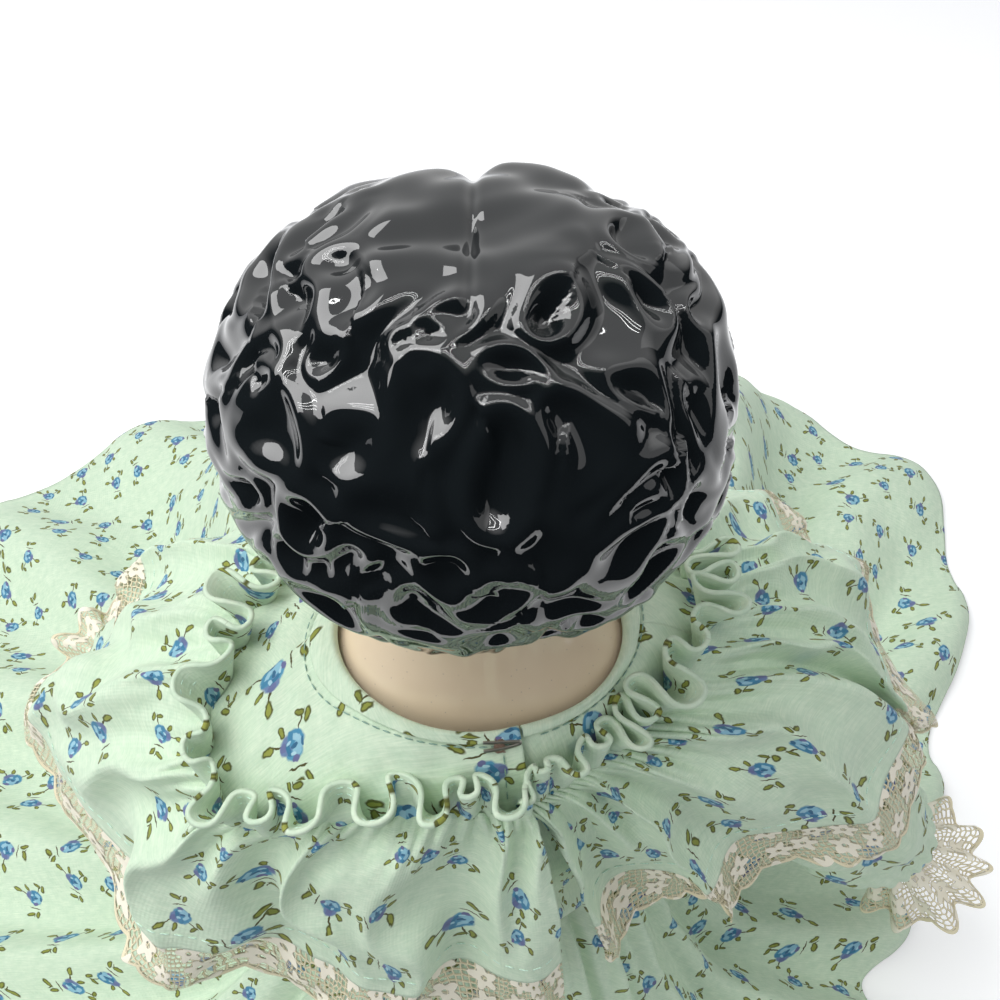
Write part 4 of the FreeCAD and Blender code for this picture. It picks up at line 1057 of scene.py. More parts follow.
def ruffle_slopes(name, turn, drop):
    """Unit directions along the ruffle and out of it."""
    step = 0.01
    along = ruffle_base(name, np.minimum(turn + step, 1), drop)
    along = along - ruffle_base(name, np.maximum(turn - step, 0), drop)
    down = ruffle_base(name, turn, np.minimum(drop + step, 1))
    down = down - ruffle_base(name, turn, np.maximum(drop - step, 0))
    normal = unit(np.cross(down, along), 1e-9)
    normal *= np.where(normal[:, 2] < 0, -1.0, 1.0)[:, None]
    return unit(along, 1e-9), normal


def gathered(name, turn, drop, seed):
    """A point of the folded ruffle: tight gathers at the seam, broad folds at the edge."""
    base = ruffle_base(name, turn, drop)
    along, normal = ruffle_slopes(name, turn, drop)
    drift = 0.016 * ripple(base, 42.0, seed) + 0.007 * ripple(base, 17.0, seed + 1)
    tight_phase = math.tau * gather_count * (turn + 0.6 * drift)
    tight_size = 0.85 * smoothly(0.42, 0.04, drop) * (0.65 + 0.45 * ripple(base, 26.0, seed + 2))
    middle_phase = math.tau * 13.0 * (turn + 1.2 * drift) + 1.0
    middle_size = 2.3 * smoothly(0.0, 0.22, drop) * smoothly(1.0, 0.45, drop)
    broad_phase = math.tau * fold_count * (turn + 1.3 * drift) + (0.4 if name == "left" else 2.2)
    broad_size = fold_depth * smoothly(0.0, 1.0, drop) ** 0.8 * (0.8 + 0.3 * ripple(base, 60.0, seed + 5))
    edge_fade = smoothly(0.0, 0.05, turn) * smoothly(1.0, 0.95, turn) * 0.6 + 0.4
    hang = tight_size * np.sin(tight_phase) + middle_size * np.sin(middle_phase)
    hang = hang + broad_size * edge_fade * np.sin(broad_phase)
    roll = broad_size * np.cos(broad_phase) + 0.6 * middle_size * np.cos(middle_phase)
    roll = fold_roll * roll * edge_fade
    if name == "right":
        step = smoothly(flap_turn + 0.020, flap_turn - 0.012, turn)
        step = step * smoothly(flap_turn - 0.26, flap_turn - 0.05, turn)
        near_fold = np.exp(-((turn - flap_turn + 0.012) / 0.035) ** 2)
        open_out = smoothly(0.04, 0.55, drop)
        hang = hang * (1 - 0.5 * near_fold) + flap_height * step * open_out
        roll = roll * (1 - 0.5 * near_fold) + flap_roll * near_fold * open_out
    hang = hang + 0.45 * ripple(base, 23.0, seed + 3) * drop + 0.12 * ripple(base, 8.0, seed + 4)
    return base + normal * hang[:, None] + along * roll[:, None]


def ruffle_place(name, low, high, seed):
    """The folded ruffle between two shares of its depth, for a grid."""
    def place(u, v):
        return gathered(name, u, low + (high - low) * v, seed).T
    return place


def bend_with_arm(piece):
    """Bakes the piece's place into its mesh. It is fixed to no body and does not bend."""
    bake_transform(piece)


# %% Ruffles and their lace
ruffle_lace = lace_material(ruffle_lace_depth)
for name, side in SIDES.items():
    seed = 50 if name == "left" else 70
    ruffle = make_piece(f"ruffle_{name}_gathered", 460, 110,
                        ruffle_place(name, 0.0, lace_start + lace_overlap, seed),
                        cloth_map=lambda u, v: (ruffle_strip_length * u, -ruffle_strip_depth * v),
                        wall=cloth_wall, material=calico)
    lace = make_piece(f"ruffle_{name}_lace_edge", 460, 26, ruffle_place(name, lace_start, 1.0, seed),
                      cloth_map=lambda u, v: (ruffle_strip_length * u, ruffle_lace_depth * v),
                      wall=0.25, material=ruffle_lace)
    for piece, node, slot in ((ruffle, f"ruffle_{name}", "calico"), (lace, f"ruffle_lace_{name}", "lace")):
        bend_with_arm(piece)
        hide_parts(node)
    u = np.linspace(0.006, 0.994, 700)
    d = np.full(700, lace_start - 0.035)
    line = gathered(name, u, d, seed) + ruffle_slopes(name, u, d)[1] * 0.34
    hem = sew_line(f"ruffle_{name}_hem_stitches", line, *hem_stitch, mint_thread)
    bend_with_arm(hem)
    print(name, "ruffle faces:", len(ruffle.data.polygons), "lace faces:", len(lace.data.polygons))

# %% Standing headings
heading_waves, heading_wave, heading_tall = 16, 3.9, 10.5


def heading_point(name, turn, v, seed):
    """The frill above the seam: small tight waves at its foot that open out and lean at its top."""
    line = line_at(seam_line[name], turn)
    ahead = line_at(seam_line[name], np.minimum(turn + 0.01, 1))
    ahead = ahead - line_at(seam_line[name], np.maximum(turn - 0.01, 0))
    ahead = unit(ahead * np.array([1, 1, 0]))
    outward = SIDES[name] * np.stack([ahead[:, 1], -ahead[:, 0], np.zeros(len(turn))], axis=1)
    drift = 0.020 * ripple(line, 30.0, seed) + 0.008 * ripple(line, 12.0, seed + 1)
    phase = math.tau * heading_waves * (turn + drift)
    size = heading_wave * (0.35 + 0.85 * v) * (0.75 + 0.35 * ripple(line, 25.0, seed + 2))
    wave = size * np.sin(phase)
    curl = -0.30 * size * v**0.7 * np.sin(2 * phase + 0.35)
    tall = heading_tall * (0.92 + 0.10 * ripple(line, 20.0, seed + 3))
    lean = (1.2 + 1.8 * np.sin(phase * 0.5 + 0.8)) * v**1.5
    point = line + outward * (wave + lean)[:, None] + ahead * curl[:, None]
    point[:, 2] += 0.2 + tall * v ** 0.9 - 0.18 * np.abs(wave) * v
    return point, outward


for name in SIDES:
    seed = 90 if name == "left" else 110
    heading = make_piece(f"heading_{name}_frill", 560, 20, lambda u, v: heading_point(name, u, v, seed)[0].T,
                         cloth_map=lambda u, v: (ruffle_strip_length * u, heading_tall * v), wall=0.9,
                         material=calico)
    wear(heading, "body", "calico", f"ruffle_heading_{name}")
    u = np.linspace(0.004, 0.996, 600)
    for row, level in enumerate((0.86, 0.64)):
        for face in (-1, 1):
            point, outward = heading_point(name, u, np.full(len(u), level), seed)
            line = sew_line(f"heading_{name}_stitches_{row}_{'out' if face > 0 else 'in'}",
                            point + outward * face * 0.5, *heading_stitch, mint_thread)
            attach(line, "body")
print("headings made with", heading_waves, "waves a side")

# %% [markdown]
# ## Skirt and petticoat
# A doll's skirt is a long rectangle gathered to the waist. It spreads over the outstretched legs and lies on
# the floor in radial folds. A cloth simulation could drop it there, but it would not land twice the same,
# so the folds are built: many small ones at the gathers, joining into fewer and deeper ones at the hem,
# which rise off the floor as ridges. The petticoat is the same shape, set in and with shallower folds.

# %% Skirt sizes
torso_floor, torso_top, torso_lean = 1.7, 162.0, 3.0
hip_half_width, hip_half_depth = 36.0, 28.0
torso_shares = [(0.0, 0.67, 0.71), (0.05, 0.93, 0.94), (0.15, 1.0, 1.0), (0.32, 0.91, 0.93),
                (0.55, 0.75, 0.76), (0.77, 0.91, 0.82), (0.90, 0.96, 0.81), (0.97, 0.83, 0.68),
                (1.0, 0.60, 0.48)]
waist_height, waist_stand = 97.7, 4.5
# The hem's reach every 15 degrees, from +X round by the front, as shares of the furthest
hem_reach = 288.0
hem_shares = np.array([0.41, 0.50, 0.66, 0.98, 0.99, 0.975, 0.955, 0.965, 0.98, 1.0, 0.91, 0.77,
                       0.65, 0.56, 0.50, 0.47, 0.45, 0.45, 0.46, 0.45, 0.45, 0.43, 0.42, 0.40])
# Rings from the waist down: height, reach at the sides and reach over the legs, as shares
skirt_rings = np.array([(1.0, 0.0, 0.0), (0.92, 0.06, 0.07), (0.74, 0.13, 0.40), (0.56, 0.17, 0.78),
                        (0.185, 0.40, 0.95), (0.115, 0.66, 0.972), (0.065, 0.95, 0.985), (0.014, 1.0, 1.0)])
ring_places = np.array([0.0, 0.10, 0.24, 0.40, 0.60, 0.76, 0.95, 1.0])
# How far in mm a full fold swings out and up at each ring, and each fold's own share of that
fold_reaches = np.array([1.0, 1.6, 3.4, 4.6, 6.5, 6.5, 6.5, 6.5])
fold_rises = np.array([0.0, 0.0, 1.0, 2.0, 5.5, 5.5, 4.4, 2.2])
fold_tops = np.array([1.0, 0.8, 1.1, 0.9, 0.7, 1.1, 0.85, 1.0, 0.75, 1.1, 0.95, 0.8,
                      1.1, 0.9, 1.0, 0.75, 1.1, 0.85, 1.0, 0.8, 1.1, 0.9, 0.75, 1.05])
steepest_reach, steepest_rise = 0.040, 0.025
lap_half_turn, lap_fade_turn = math.radians(24), math.radians(22)
waist_folds = 52
skirt_floor, floor_ease = 0.45, 3.0
waist_map_radius = 30.0


def torso_ring(height):
    """Half width, half depth and centre of the stuffed body at heights in mm."""
    share = (height - torso_floor) / (torso_top - torso_floor)
    return (hip_half_width * read_table(torso_shares, share),
            hip_half_depth * read_table(torso_shares, share, 2), -torso_lean * (1 - share))


def hem_at(angle):
    """The hem's reach in mm in a direction, with its corners a little rounded."""
    total = np.zeros_like(angle)
    turns = np.radians([-6.0, -3.0, 0.0, 3.0, 6.0])
    places = np.arange(25) * math.tau / 24
    for turn in turns:
        total += np.interp((angle + turn) % math.tau, places, np.append(hem_shares, hem_shares[0]))
    return hem_reach * total / len(turns)


def ring_at(down, column):
    """One column of the skirt's rings at a share of the way down, with the corners eased."""
    total = np.zeros_like(down)
    for step in (-0.04, -0.02, 0.0, 0.02, 0.04):
        total += np.interp(np.clip(down + step * np.minimum(1, np.minimum(down, 1 - down) / 0.05), 0, 1),
                           ring_places, skirt_rings[:, column])
    return total / 5


def skirt_base(angle, down, inset=0.0, drop=0.0, lap_inset=0.0):
    """Reach and height of the skirt with no folds."""
    wide, deep, centre = (float(np.mean(value)) for value in torso_ring(np.array([waist_height])))
    wide, deep = wide + waist_stand, deep + waist_stand
    waist = 1 / np.sqrt((np.cos(angle) / wide) ** 2 + (np.sin(angle) / deep) ** 2) + centre * np.sin(angle)
    away = np.abs((angle - math.pi / 2 + math.pi) % math.tau - math.pi) + lap_inset
    lap = np.clip(1 - (away - lap_half_turn) / lap_fade_turn, 0, 1)
    lap = 0.5 * lap + 0.5 * lap * lap * (3 - 2 * lap)
    share = ring_at(down, 1) + (ring_at(down, 2) - ring_at(down, 1)) * lap
    return waist + share * (hem_at(angle) - waist) - inset, waist_height * ring_at(down, 0) - drop


def fold_wave(angle, drift):
    """Between -1.1 and 1.1: the broad folds, each with its own height."""
    turn = (24 * angle + drift) / math.tau
    places = np.arange(-1, 26) + 0.5
    tops = np.interp(turn % 24, places, fold_tops[np.arange(-1, 26) % 24])
    wave = np.sin(math.tau * turn)
    return tops * np.sign(wave) * np.abs(wave) ** 0.88


def skirt_place(angle, down, depth, seed, **shift):
    """A point of the folded skirt. depth is the share of the full folds."""
    reach, height = skirt_base(angle, down, **shift)
    step = 0.01
    ahead = skirt_base(angle, np.minimum(down + step, 1), **shift)
    behind = skirt_base(angle, np.maximum(down - step, 0), **shift)
    run, fall = ahead[0] - behind[0], ahead[1] - behind[1]
    span = np.hypot(run, fall) + 1e-6
    out, up = -fall / span, run / span
    points = oval_points(angle, reach, reach, height)
    around = oval_points(angle, 1, 1, np.zeros_like(angle)) * 100
    drift = 0.35 * ripple(around, 130.0, seed) + 0.45 * ripple(points, 95.0, seed + 1)
    broad = fold_wave(angle, drift)
    fine = np.sin(waist_folds * angle + 1.4 * drift + 0.6 * ripple(points, 40.0, seed + 2))
    outward = depth * np.minimum(np.interp(down, ring_places, fold_reaches), steepest_reach * reach)
    upward = depth * np.minimum(np.interp(down, ring_places, fold_rises), steepest_rise * reach)
    near = np.clip(reach / 90.0, 0.2, 1)
    swell = depth * near * (np.interp(down, [0.0, 0.08, 0.30, 0.55, 1.0], [0.8, 2.6, 2.0, 0.8, 0.15]) * fine
                            + 0.75 * ripple(points, 46.0, seed + 4) + 0.28 * ripple(points, 18.0, seed + 5))
    reach = reach + out * swell + outward * broad
    height = height + up * swell + upward * broad
    low = skirt_floor + floor_ease
    settled = skirt_floor + floor_ease * np.exp(np.minimum(height - low, 0) / floor_ease)
    height = np.where(height < low, settled, height)
    return reach * np.cos(angle), reach * np.sin(angle), height


def skirt_map(u, v):
    """The print's map: rings round the waist, as wide as the cloth runs down."""
    steps = np.linspace(0, 1, 60)
    table = np.array([skirt_base(np.full(60, turn), steps) for turn in np.radians(np.arange(0, 361, 7.5))])
    lengths = np.hypot(np.diff(table[:, 0]), np.diff(table[:, 1]))
    runs = np.concatenate([np.zeros((len(table), 1)), np.cumsum(lengths, axis=1)], axis=1)
    low = np.minimum((u * 48).astype(int), 47)
    share = u * 48 - low
    row = np.minimum((v * 59).astype(int), 58)
    part = v * 59 - row
    before = runs[low, row] * (1 - part) + runs[low, row + 1] * part
    after = runs[low + 1, row] * (1 - part) + runs[low + 1, row + 1] * part
    out = before * (1 - share) + after * share + waist_map_radius
    return out * np.cos(math.tau * u), out * np.sin(math.tau * u)


# %% Skirt and petticoat
skirt = make_piece("skirt_folds", 620, 120, lambda u, v: skirt_place(math.tau * u, v, 1.0, 200),
                   closed=True, cloth_map=skirt_map, wall=cloth_wall, material=calico)
wear(skirt, "body", "calico", "skirt")
print("skirt faces:", len(skirt.data.polygons))

petticoat_down = 0.644


def petticoat_place(u, v):
    """The skirt's own shape, set in under it, with faint folds and a hem that lies flat."""
    down = 0.10 + (petticoat_down - 0.10) * v
    inset = 6.0 + 3.0 * smoothly(0.0, 0.6, v)
    x, y, z = skirt_place(math.tau * u, down, 0.2, 230, inset=inset, drop=7.5, lap_inset=math.radians(4.5))
    ease = smoothly(0.86, 1.0, v)
    return x, y, z * (1 - ease) + 0.5 * ease


petticoat = make_piece("petticoat_folds", 420, 72, petticoat_place, closed=True, cloth_map=skirt_map,
                       wall=cloth_wall, material=white_cotton)
wear(petticoat, "body", "white_cotton", "petticoat")
print("petticoat faces:", len(petticoat.data.polygons))

# %% [markdown]
# ## The stuffed body and limbs
# A china-head doll has a cotton body packed hard with fibre: a torso, two upper arms and two thighs. The
# porcelain is tied into the limbs with thread wound round a groove. Each is one padded piece: the cover as it
# shows over its stuffing, with puckers at the seams. The thread is a real coil of wound turns.

# %% Limb frames
arm_root, arm_cloth = 12.0, 64.0
leg_root, leg_cloth = 15.0, 92.0
arm_shares = [(0.0, 0.95), (0.3, 0.96), (0.7, 0.80), (1.0, 0.74)]
leg_shares = [(0.0, 0.97), (0.3, 1.0), (0.7, 0.80), (1.0, 0.64)]
arm_ways = {"right": (0.57, 0.105, -0.815), "left": (-0.514, 0.522, -0.681)}
leg_splay, foot_turnout = math.radians(3), math.radians(25)


def limb_axes(way, toward):
    """A limb's own axes: z down the limb, x to the side that it faces."""
    z = np.array(way) / np.linalg.norm(way)
    x = np.array(toward, dtype=float)
    x -= z * (x @ z)
    x /= np.linalg.norm(x)
    return np.stack([x, np.cross(z, x), z])


arm_pivots = {name: np.array((side * 46.48, 0.0, 150.0)) for name, side in SIDES.items()}
leg_pivots = {name: np.array((side * 18.0, 38.5, 17.0)) for name, side in SIDES.items()}
arm_axes = {name: limb_axes(arm_ways[name], (0, 1, 0)) for name in SIDES}
leg_axes = {name: limb_axes((side * math.sin(leg_splay), math.cos(leg_splay), 0),
                            (side * math.sin(foot_turnout), 0, math.cos(foot_turnout)))
            for name, side in SIDES.items()}


def along_limb(pivot, axes, local):
    """Local places of a limb, in mm, set in the doll."""
    return (pivot + local @ axes).T


# %% Padded torso, arms and thighs
def torso_place(u, v):
    """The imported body, with a seam that draws in at each side."""
    angle = math.tau * u
    height = torso_floor + (torso_top - torso_floor) * np.clip(v * 1.06 - 0.03, 0, 1)
    wide, deep, centre = torso_ring(height)
    closing = np.where(v < 0.0284, v / 0.0284, np.where(v > 0.972, (1 - v) / 0.028, 1.0))
    points = oval_points(angle, wide, deep, height)
    pucker = 0.35 * ripple(points, 18.0, 301) - 1.1 * np.exp(-((np.abs(np.cos(angle)) - 1) / 0.012) ** 2)
    wide, deep = (wide + pucker) * closing, (deep + pucker) * closing
    return wide * np.cos(angle), deep * np.sin(angle) + centre, height


torso = make_piece("stuffed_torso", 160, 130, torso_place, closed=True,
                   cloth_map=lambda u, v: (210.0 * u, 175.0 * v), material=rose_cotton)
wear(torso, "body", "body_cloth", "torso_cover", "torso_stuffing")


def padded_limb(table, root, length, seed):
    """A ball end, a full middle and a neck where the porcelain is tied in."""
    def local(u, v):
        angle = math.tau * u
        along = -root + (length + root) * v
        share = np.clip(along / length, 0, 1)
        radius = root * read_table(table, share)
        ball = np.sqrt(np.maximum(root**2 - np.minimum(along, 0) ** 2, 0))
        radius = np.where(along < 0, ball * table[0][1], radius)
        points = oval_points(angle, radius, radius, along)
        tie = np.exp(-((along - length + 5.0) / 2.2) ** 2)
        seam = np.exp(-((np.cos(angle) - 1) / 0.02) ** 2)
        pucker = 0.35 * ripple(points, 12.0, seed) - 0.9 * tie - 0.5 * seam
        pucker += 0.3 * np.sin(14 * angle) * smoothly(length - 16.0, length - 5.0, along)
        radius = np.maximum(radius + pucker * smoothly(-root, -root * 0.8, along), 0.0)
        return oval_points(angle, radius, radius, along)
    return local


for name in SIDES:
    for part, table, root, length, pivot, axes in (
            ("upper_arm", arm_shares, arm_root, arm_cloth, arm_pivots[name], arm_axes[name]),
            ("thigh", leg_shares, leg_root, leg_cloth, leg_pivots[name], leg_axes[name])):
        local = padded_limb(table, root, length, 310 if part == "thigh" else 330)
        limb = make_piece(f"stuffed_{part}_{name}", 72, 90,
                          lambda u, v: along_limb(pivot, axes, local(u, v)), closed=True,
                          cloth_map=lambda u, v: (90.0 * u, 110.0 * v), material=rose_cotton)
        wear(limb, f"arm_{name}" if part == "upper_arm" else f"leg_{name}", "body_cloth",
             f"{part}_cover_{name}", f"{part}_stuffing_{name}")
print("padded pieces made")

# %% Drawers
drawers_start, drawers_length, drawers_radius = 9.0, 109.0, 16.55
seat_floor, seat_height, seat_turn = 1.2, 86.8, 0.18


def drawers_leg_local(u, v):
    """Straight legs of thin cotton, gathered a little at their top."""
    angle = math.tau * u
    along = drawers_start + drawers_length * v
    points = oval_points(angle, 16, 16, along)
    gathers = np.sin(16 * angle) * smoothly(0.12, 0.0, v)
    radius = drawers_radius + 0.3 * v + 0.35 * ripple(points, 16.0, 401) + 0.35 * gathers
    return oval_points(angle, radius, radius, along)


def drawers_seat_place(u, v):
    """Closed under the body, then up round the hips to a drawn-in waist."""
    angle = math.tau * u
    height = seat_floor + seat_height * np.clip((v - seat_turn) / (1 - seat_turn), 0, 1)
    wide, deep, centre = torso_ring(np.maximum(height, torso_floor))
    under = np.clip(v / seat_turn, 0.0, 1.0)
    points = oval_points(angle, wide, deep, height)
    stand = 1.1 + 0.3 * ripple(points, 17.0, 405) + 0.4 * np.sin(30 * angle) * smoothly(0.75, 1.0, v)
    stand -= 0.5 * np.exp(-((v - 0.93) / 0.012) ** 2)
    wide, deep = (wide + stand) * under, (deep + stand) * under
    return wide * np.cos(angle), deep * np.sin(angle) + centre, np.maximum(height, 0.3) - 0.7 * (under < 1)


seat = make_piece("drawers_seat_cotton", 160, 90, drawers_seat_place, closed=True,
                  cloth_map=lambda u, v: (220.0 * u, 110.0 * v), wall=0.4, material=white_cotton)
wear(seat, "body", "white_cotton", "drawers_seat")
drawers = {}
for name in SIDES:
    pivot, axes = leg_pivots[name], leg_axes[name]
    drawers[name] = make_piece(f"drawers_leg_cotton_{name}", 84, 90,
                               lambda u, v: along_limb(pivot, axes, drawers_leg_local(u, v)), closed=True,
                               cloth_map=lambda u, v: (106.0 * u, 110.0 * v), wall=0.4,
                               material=white_cotton)
    wear(drawers[name], f"leg_{name}", "white_cotton", f"drawers_leg_{name}")
print("drawers made")

# %% [markdown]
# ## Sleeves and cuffs
# The sleeves are set in at the shoulder, puffed and gathered into a narrow cuff with a lace frill. The
# puff hangs from its own weight: its creases run down the arm from the gathers and break across at the elbow.

# %% Sleeves
sleeve_shares = [(0.0, 0.80), (0.10, 0.95), (0.27, 1.0), (0.62, 0.97), (0.88, 0.76), (1.0, 0.42)]
sleeve_radius, sleeve_start, sleeve_length = 18.5, 2.0, 111.0
sleeve_head_gap, head_ease = 46.0, 1.5
cuff_width, cuff_radius = 5.0, 7.7
frill_length, frill_radius, frill_folds = 17.0, 19.0, 11


def sleeve_local(u, v, seed):
    """The puffed sleeve in its arm's own axes: gathers at both ends, broad folds and breaks across."""
    angle = math.tau * u
    share = v
    along = sleeve_start + sleeve_length * share
    radius = sleeve_radius * read_table(sleeve_shares, share)
    points = oval_points(angle, radius, radius, along)
    ends = smoothly(0.55, 1.0, share) * 0.9 + smoothly(0.3, 0.0, share) * 0.5
    drift = 0.5 * ripple(points, 30.0, seed)
    gather = 0.62 * ends * np.sin(22 * angle + 2.0 * drift) * np.clip(radius / 12.0, 0, 1)
    broad = 1.25 * np.sin(5 * angle + 2.4 * drift + 0.03 * along)
    broad = broad * smoothly(0.0, 0.3, share) * smoothly(1.0, 0.7, share)
    cross_break = 0.9 * ripple(points * np.array([0.6, 0.6, 1.5]), 24.0, seed + 1)
    cross_break = cross_break * smoothly(0.02, 0.25, share) * smoothly(1.0, 0.85, share)
    radius = radius + gather + broad + cross_break
    return oval_points(angle, radius, radius, along)


def cuff_local(u, v):
    """A narrow padded band, with the gathers showing through."""
    angle = math.tau * u
    along = sleeve_start + sleeve_length - 0.6 + (cuff_width + 1.0) * v
    radius = cuff_radius + 0.35 * np.sin(math.pi * v) + 0.08 * np.sin(26 * angle)
    return oval_points(angle, radius, radius, along)


def frill_local(u, v, seed):
    """The lace frill: a flared tube whose folds open towards its edge."""
    angle = math.tau * u
    start = sleeve_start + sleeve_length + cuff_width + 0.2
    flare = 1 - (1 - v) ** 1.5
    radius = 7.3 + (frill_radius - 7.5) * (0.75 * v + 0.25 * flare)
    points = np.stack([10 * np.cos(angle), 10 * np.sin(angle), 10 * v], axis=1)
    drift = 0.5 * ripple(points, 14.0, seed)
    wave = (0.25 + 2.5 * v) * np.sin(frill_folds * angle + 2 * drift)
    along = start + frill_length * v * (0.93 + 0.05 * ripple(points, 9.0, seed + 1))
    along = along + 0.8 * v * np.cos(frill_folds * angle)
    radius = radius + wave
    return oval_points(angle, radius, radius, np.minimum(along, start + frill_length))


cuff_lace_cloth = lace_material(frill_length)
for name, side in SIDES.items():
    pivot, axes = arm_pivots[name], arm_axes[name]
    seed = 500 if name == "left" else 520

    def sleeve_place(u, v):
        x, y, z = along_limb(pivot, axes, sleeve_local(u, v, seed))
        away, near = side * x, sleeve_head_gap + head_ease
        eased = sleeve_head_gap + head_ease * np.exp(np.minimum(away - near, 0) / head_ease)
        return side * np.where(away < near, eased, away), y, z

    sleeve = make_piece(f"sleeve_{name}_puff", 180, 150, sleeve_place, closed=True,
                        cloth_map=lambda u, v: (118.0 * u, 118.0 * v), wall=cloth_wall, material=calico)
    cuff = make_piece(f"cuff_{name}_band", 120, 10, lambda u, v: along_limb(pivot, axes, cuff_local(u, v)),
                      closed=True, cloth_map=lambda u, v: (50.0 * u, 6.0 * v), wall=1.0, material=calico)
    frill = make_piece(f"cuff_lace_{name}_frill", 260, 22,
                       lambda u, v: along_limb(pivot, axes, frill_local(u, v, seed + 5)), closed=True,
                       cloth_map=lambda u, v: (98.0 * u, frill_length * v), wall=0.25,
                       material=cuff_lace_cloth)
    wear(sleeve, f"arm_{name}", "calico", f"sleeve_{name}")
    wear(cuff, f"arm_{name}", "calico", f"cuff_{name}")
    wear(frill, f"arm_{name}", "lace", f"cuff_lace_{name}")
print("sleeves, cuffs and frills made")


# %% [markdown]
# ## Thread, tapes and porcelain limbs
# The limbs are tied in with linen thread, wound round and round over the cloth: a coil of tube along a
# helix. The plate is sewn down through its holes and each tie ends in an overhand knot, a closed curve that
# crosses itself three times. The porcelain forearms and boots come straight from the frame, so only their
# glaze and painting are added.

# %% Coils and knots
def helix_local(radius, start, width, turns, thread):
    """Thread wound round a limb, with its two ends tucked in. Sizes in mm, from the limb's root."""
    def local(u, v):
        angle = math.tau * turns * u
        end = np.minimum(u, 1 - u)
        tuck = np.where(end < 0.02, 0.6 * (1 - end / 0.02), 0.0)
        line = oval_points(angle, radius - tuck, radius - tuck, start + width * u)
        ahead = np.stack([-np.sin(angle), np.cos(angle), np.zeros_like(angle)], axis=1)
        return tube_wall(line, ahead, (0.0, 0.0, 1.0), thread, v)
    return local


linen_thread = thread_material("waxed_linen_thread", "#d9cfb6")
for name in SIDES:
    for part, table, root, length, pivot, axes, body in (
            ("arm", arm_shares, arm_root, arm_cloth, arm_pivots[name], arm_axes[name], f"arm_{name}"),
            ("leg", leg_shares, leg_root, leg_cloth, leg_pivots[name], leg_axes[name], f"leg_{name}")):
        size = root * float(read_table(table, np.array([(length - 5) / length]))[0]) + 0.25
        local = helix_local(size, length - 6.8, 3.6, 7, 0.30)
        coil = make_piece(f"{part}_thread_coil_{name}", 420, 8,
                          lambda u, v: along_limb(pivot, axes, local(u, v)), closed=True,
                          material=linen_thread)
        wear(coil, body, "cotton_tape", f"{part}_binding_{name}")


def knot_place(middle, face):
    """A small overhand knot of tape on the plate's front or back."""
    def place(u, v):
        turn = math.tau * u
        line = np.stack([0.62 * (np.sin(turn) + 2 * np.sin(2 * turn)), face * 0.55 * -np.sin(3 * turn),
                         0.62 * (np.cos(turn) - 2 * np.cos(2 * turn))], axis=1)
        ahead = np.stack([0.62 * (np.cos(turn) + 4 * np.cos(2 * turn)), face * -1.65 * np.cos(3 * turn),
                          0.62 * (-np.sin(turn) + 4 * np.sin(2 * turn))], axis=1)
        return tube_wall(np.array(middle) + line, unit(ahead), (0.0, 1.0, 0.0), knot_tape_radius, v).T
    return place


sew_height, sew_reach = 151.0, 20.0
knot_tape_radius = 0.5
knots = []
for side in (-1, 1):
    for face in (-1, 1):
        low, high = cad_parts["plate_ties"].bound_box[0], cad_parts["plate_ties"].bound_box[6]
        reach = (high[1] if face > 0 else low[1]) / MM
        knot = make_piece(f"tape_knot_{len(knots) + 1}", 90, 10,
                          knot_place((side * sew_reach, reach - face * 0.8, sew_height), face), closed=True,
                          material=tape_cotton)
        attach(knot, "body")
        knots.append(knot)
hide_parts("plate_ties")
print("coils and knots made")

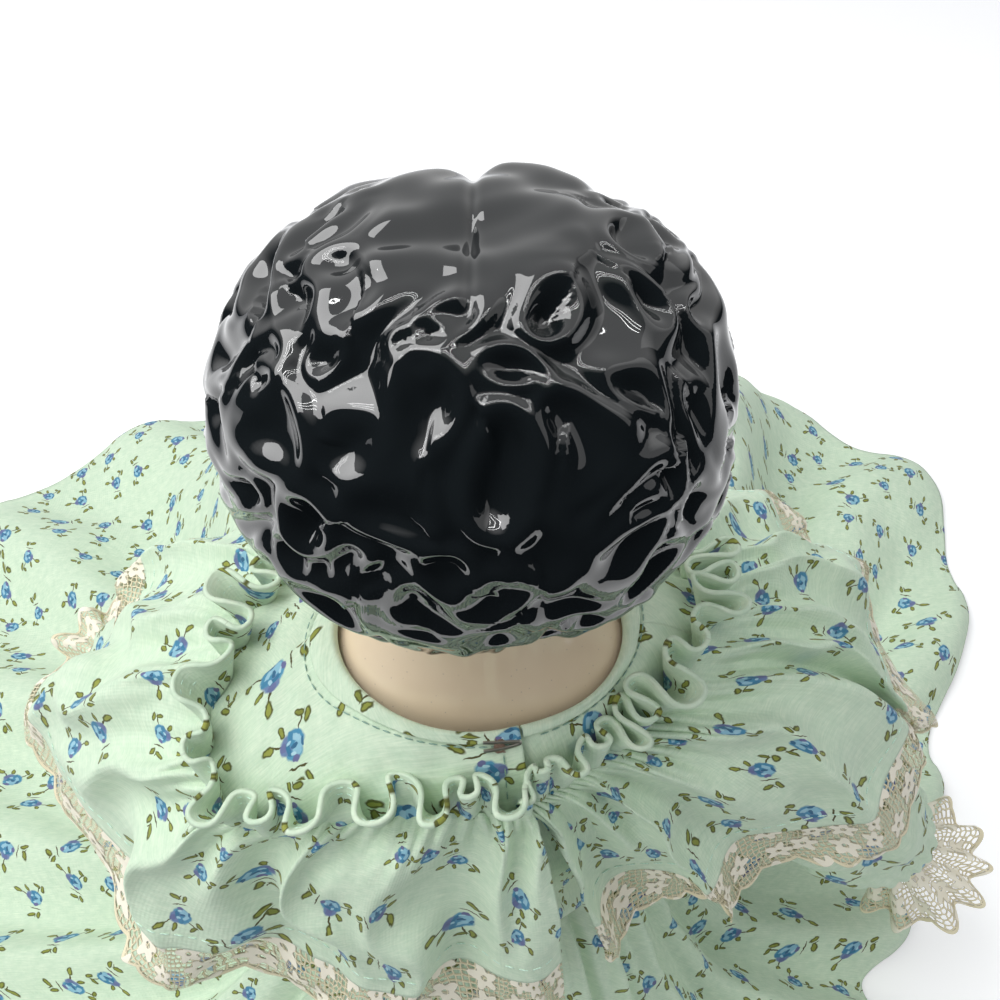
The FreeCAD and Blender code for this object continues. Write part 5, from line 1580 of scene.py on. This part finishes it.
# %% Kept pieces from the frame
def limb_porcelain(name, pivot, axis, boot_start):
    """White porcelain under clear glaze, with a painted boot from a distance down the limb, in mm."""
    material, tree, shader = new_material(name)
    place = add_node(tree, "TexCoord").outputs["Object"]
    tone = add_node(tree, "TexNoise", {"Vector": place, "Scale": 60.0, "Detail": 3.0})
    final = add_node(tree, "ValToRGB", {0: tone.outputs["Fac"]},
                     stops=((0.35, colour("#e3d7c8")), (0.7, colour("#ece2d6")))).outputs[0]
    if boot_start:
        local = add_node(tree, "VectorMath", {0: place, 1: tuple(pivot * MM)}, operation="SUBTRACT")
        down = add_node(tree, "VectorMath", {0: local.outputs[0], 1: tuple(axis)},
                        operation="DOT_PRODUCT").outputs["Value"]
        garter = (boot_start - 24.0, boot_start - 21.5, "#b04a5e")
        for start, end, shade in ((boot_start, 400.0, "#0a0a0c"), garter):
            low = ramp_node(tree, down, (start - 0.1) * MM, (start + 0.1) * MM)
            high = ramp_node(tree, down, (end + 0.1) * MM, (end - 0.1) * MM)
            both = math_node(tree, "MULTIPLY", low, high)
            final = paint_over(tree, final, both, colour(shade))
    set_inputs(tree, shader, {"Base Color": final, "Roughness": 0.12, "IOR": 1.6, "Coat Weight": 0.3,
                              "Coat Roughness": 0.03})
    return material


def finish_node(node, material):
    """Gives a solid from the frame its finish, with its shape as it is."""
    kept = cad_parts[node]
    kept.data.materials.clear()
    kept.data.materials.append(material)


for name in SIDES:
    finish_node(f"forearm_and_hand_{name}", limb_porcelain(f"forearm_porcelain_{name}", arm_pivots[name],
                                                           arm_axes[name][2], None))
    finish_node(f"lower_leg_and_boot_{name}", limb_porcelain(f"leg_porcelain_{name}", leg_pivots[name],
                                                             leg_axes[name][2], 150.0))
print("kept pieces finished")

# %% [markdown]
# ## Floor
# The floor is a stage: matt white paper, so that the hem's soft shadow is all that shows. The paper ends just
# behind the doll, so that the low curls mirror the dim room behind it and stay black.

# %% Floor
paper_edge = -160.0


def white_paper():
    """Matt white paper. It glows a little to the eye and in the glaze, so that it reads as pure white."""
    material, tree, shader = new_material("matt_white_paper")
    path = add_node(tree, "LightPath")
    seen = math_node(tree, "MAXIMUM", path.outputs["Is Camera Ray"], path.outputs["Is Glossy Ray"])
    glow = math_node(tree, "MULTIPLY", seen, 0.26)
    set_inputs(tree, shader, {"Base Color": colour("#f6f6f5"), "Roughness": 0.95, "Specular IOR Level": 0.1,
                              "Emission Color": colour("#ffffff"), "Emission Strength": glow})
    return material


def flat_floor(u, v):
    """The paper, just under the lowest hem so that the two never flicker."""
    reach = 3000.0
    return (u - 0.5) * 2 * reach, paper_edge + (reach - paper_edge) * v, np.full_like(u, -0.2)


floor = make_piece("floor", 4, 4, flat_floor, material=white_paper())
